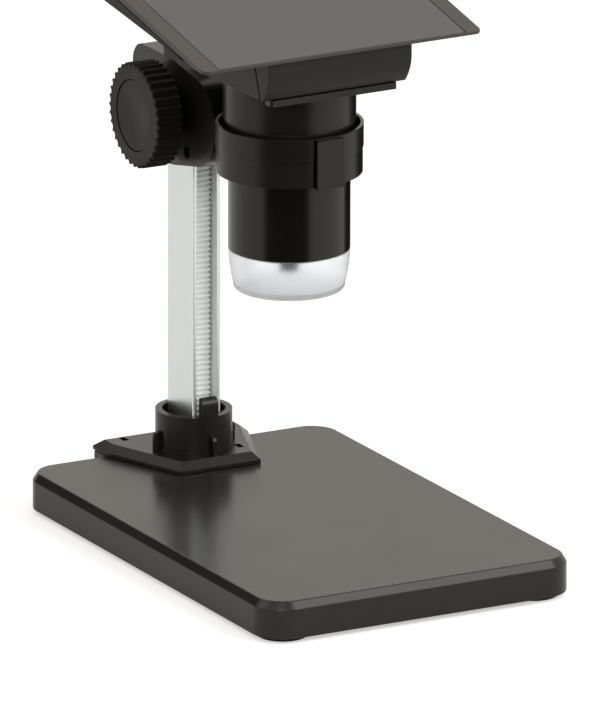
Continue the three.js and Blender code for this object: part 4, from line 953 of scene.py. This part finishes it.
left_knob, right_knob, left_disc, right_disc = knob_pair()
dress(left_knob, filled_nylon, "knobs", "knob_black", "knob_left")
dress(right_knob, filled_nylon, "knobs", "knob_black", "knob_right")
dress(left_disc, filled_nylon, "knobs", "knob_black", "knob_cap_left")
dress(right_disc, filled_nylon, "knobs", "knob_black", "knob_cap_right")

dress(neck_moulding(), satin_abs, "microscope", "barrel_black", "neck")
dress(sleeve_moulding(), polished_acetal, "focus_sleeve", "barrel_black", "focus_sleeve")
dress(frosted_cap(), frosted, "focus_sleeve", "frosted", "light_cap")
dress(lens_mount(), filled_nylon, "focus_sleeve", "barrel_black", "lens_holder")

dress(head_moulding(), lacquered_abs, "microscope", "head_black", "head_housing")
dress(cover_moulding(), lacquered_abs, "microscope", "head_black", "front_cover")
dress(lid_moulding(), lid_lacquer, "microscope", "head_black", "top_bezel")
dress(screen_pane(), acrylic, "microscope", "screen_glass", "screen_glass")
for index, key in enumerate(keys()):
    dress(key, silicone, f"button_{index + 1}", "head_black", f"button_{index + 1}")
socket_shell = port_shell("socket_shell", (-9.8, -2.2), (39.6, 42.3), depth=5.6, wall=0.45)
card_shell = port_shell("card_shell", (9, 23), (39.6, 41.4), depth=12, wall=0.3)
dress(socket_shell, zinc_steel, "microscope", "steel", "usb_port")
dress(card_shell, zinc_steel, "microscope", "steel", "card_slot")

CARRIED_OVER = {
    "base_cover": eroded_abs,
    "ballast_plate": painted_plate,
    "column_bolt": zinc_steel,
    "guide_liner": cream_nylon,
    "shaft_bush_left": turned_brass,
    "shaft_bush_right": turned_brass,
    "pinion_shaft": zinc_steel,
    "pinion": turned_brass,
    "light_board": laminate,
    "objective_lens": optical,
    "screen_panel": dark_display,
    "main_board": laminate,
    "battery": pouch_foil,
    "sensor_board": laminate,
}
SCREWS = {
    "base_screw_": zinc_steel,
    "foot_screw_": zinc_steel,
    "knob_screw_": zinc_steel,
    "neck_screw_": zinc_steel,
}
for name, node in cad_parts.items():
    finish = CARRIED_OVER.get(name)
    for start, screw_finish in SCREWS.items():
        if name.startswith(start):
            finish = screw_finish
    if finish:
        for slot in node.material_slots:
            slot.material = finish


# Studio

def hide_card(card):
    """Lets a black card show in reflections alone."""
    card.visible_camera = False
    card.visible_diffuse = False
    card.visible_shadow = False
    card.visible_transmission = False
    finish = new_finish(
        "black flocked card", Base_Color=linear("0a0a0a"), Roughness=1, Specular_IOR_Level=0)[0]
    card.data.materials.append(finish)
    return card


def lying_card(name, near, far, spread, heading):
    """A black card on the table that opens from near to far on both sides of its heading, counted
    from the front. It keeps a stretch of the polished barrel dark."""
    bpy.ops.mesh.primitive_plane_add(size=1, location=(0, -(near + far) / 2, 0.001))
    bpy.context.object.scale = (2 * near * spread, far - near, 1)
    card = fresh(name)
    pick(card, lambda corner, normal: corner.y < -near - 0.01, "VERT")
    bpy.ops.transform.resize(value=(far / near, 1, 1), center_override=(0, 0, 0))
    leave()
    return hide_card(turn(card, turned_by(heading, "Z")))


def standing_card(name, width, bottom, top, distance, heading):
    """A black card that stands away from the object and darkens the edges that face it."""
    bpy.ops.mesh.primitive_plane_add(
        size=1, location=(0, -distance, (bottom + top) / 2), rotation=(math.pi / 2, 0, 0))
    bpy.context.object.scale = (width, top - bottom, 1)
    return hide_card(turn(fresh(name), turned_by(heading, "Z")))


def table():
    """A wide white table. It looks white to the camera, and keeps the shadow."""
    bpy.ops.mesh.primitive_plane_add(size=8)
    top = bpy.context.object
    top.name = "table"
    finish = bpy.data.materials.new("white table")
    finish.use_nodes = True
    tree = finish.node_tree
    tree.nodes.clear()
    rays = add(tree, "ShaderNodeLightPath")
    seen = add(tree, "ShaderNodeMath", {
        0: rays.outputs["Is Camera Ray"], 1: rays.outputs["Is Transmission Ray"]},
        operation="MAXIMUM")
    level = add(tree, "ShaderNodeMath", {0: seen.outputs["Value"], 1: 0.5}, operation="MULTIPLY")
    mirrored = add(tree, "ShaderNodeMath", {
        0: rays.outputs["Is Glossy Ray"], 1: 0.2}, operation="MULTIPLY")
    power = add(tree, "ShaderNodeMath", {
        0: level.outputs["Value"], 1: mirrored.outputs["Value"]}, operation="MAXIMUM")
    glow = add(tree, "ShaderNodeEmission", {"Strength": power.outputs["Value"]})
    paper = add(tree, "ShaderNodeBsdfDiffuse", {"Color": linear("cccccc")})
    glowing_paper = add(tree, "ShaderNodeAddShader", {
        0: glow.outputs["Emission"], 1: paper.outputs["BSDF"]})
    add(tree, "ShaderNodeOutputMaterial", {"Surface": glowing_paper.outputs["Shader"]})
    top.data.materials.append(finish)
    return top


def softbox(name, place, aim, size, power):
    """A square soft lamp at a place in metres, aimed at a point."""
    lamp = bpy.data.lights.new(name, "AREA")
    lamp.size = size
    lamp.energy = power
    holder = bpy.data.objects.new(name, lamp)
    bpy.context.scene.collection.objects.link(holder)
    holder.location = place
    holder.rotation_euler = (Vector(aim) - Vector(place)).to_track_quat("-Z", "Y").to_euler()
    return holder


def white_room():
    """The room behind all: white where it is seen, softer and a little warmer as a light."""
    world = bpy.data.worlds.new("white room")
    bpy.context.scene.world = world
    world.use_nodes = True
    tree = world.node_tree
    tree.nodes.clear()
    rays = add(tree, "ShaderNodeLightPath")
    seen = add(tree, "ShaderNodeMath", {
        0: rays.outputs["Is Camera Ray"], 1: rays.outputs["Is Glossy Ray"]}, operation="MAXIMUM")
    shown = add(tree, "ShaderNodeMath", {
        0: seen.outputs["Value"], 1: rays.outputs["Is Transmission Ray"]}, operation="MAXIMUM")
    level = add(tree, "ShaderNodeMapRange", {
        "Value": shown.outputs["Value"], "To Min": 0.9, "To Max": 1})
    tone = add(tree, "ShaderNodeMix", {
        0: rays.outputs["Is Camera Ray"], 6: linear("fffaf4"), 7: linear("ffffff")},
        data_type="RGBA")
    light = add(tree, "ShaderNodeBackground", {
        "Color": tone.outputs[2], "Strength": level.outputs["Result"]})
    add(tree, "ShaderNodeOutputWorld", {"Surface": light.outputs["Background"]})


def camera():
    """The camera at the photograph's place: a long lens from the front left, a little above. Its
    place is in metres, its three angles are in degrees."""
    place = Vector((-2.355979, -4.347695, 1.545964))
    facing = (-28.4851, 16.5831, 0.1712)
    azimuth, elevation, roll = [math.radians(angle) for angle in facing]
    back = Vector((
        math.sin(azimuth) * math.cos(elevation),
        -math.cos(azimuth) * math.cos(elevation),
        math.sin(elevation),
    ))
    level = Vector((math.cos(azimuth), math.sin(azimuth), 0))
    upright = back.cross(level)
    right = math.cos(roll) * level + math.sin(roll) * upright
    up = math.cos(roll) * upright - math.sin(roll) * level
    lens = bpy.data.cameras.new("camera")
    lens.sensor_width = 36
    lens.lens = 698.3
    holder = bpy.data.objects.new("camera", lens)
    bpy.context.scene.collection.objects.link(holder)
    pose = Matrix((right, up, back)).transposed().to_4x4()
    pose.translation = place
    holder.matrix_world = pose
    bpy.context.scene.camera = holder


table()
lying_card("front_card", near=0.22, far=2.4, spread=0.9, heading=-33)
lying_card("right_card", near=0.3, far=2.4, spread=0.36, heading=116)
standing_card(
        "left_card", width=0.7, bottom=0.12, top=0.75, distance=1.03, heading=-148.5)
softbox("right_softbox", (0.75, -1.0, 1.05), aim=(0, 0, 0.1), size=0.9, power=11)
softbox("left_softbox", (-1.3, 0.35, 1.0), aim=(0, 0, 0.1), size=0.9, power=2)
softbox("front_softbox", (-1.1, -1.9, 1.3), aim=(0, 0, 0.12), size=1.1, power=12)
white_room()
camera()
bpy.context.scene.view_settings.view_transform = "Standard"
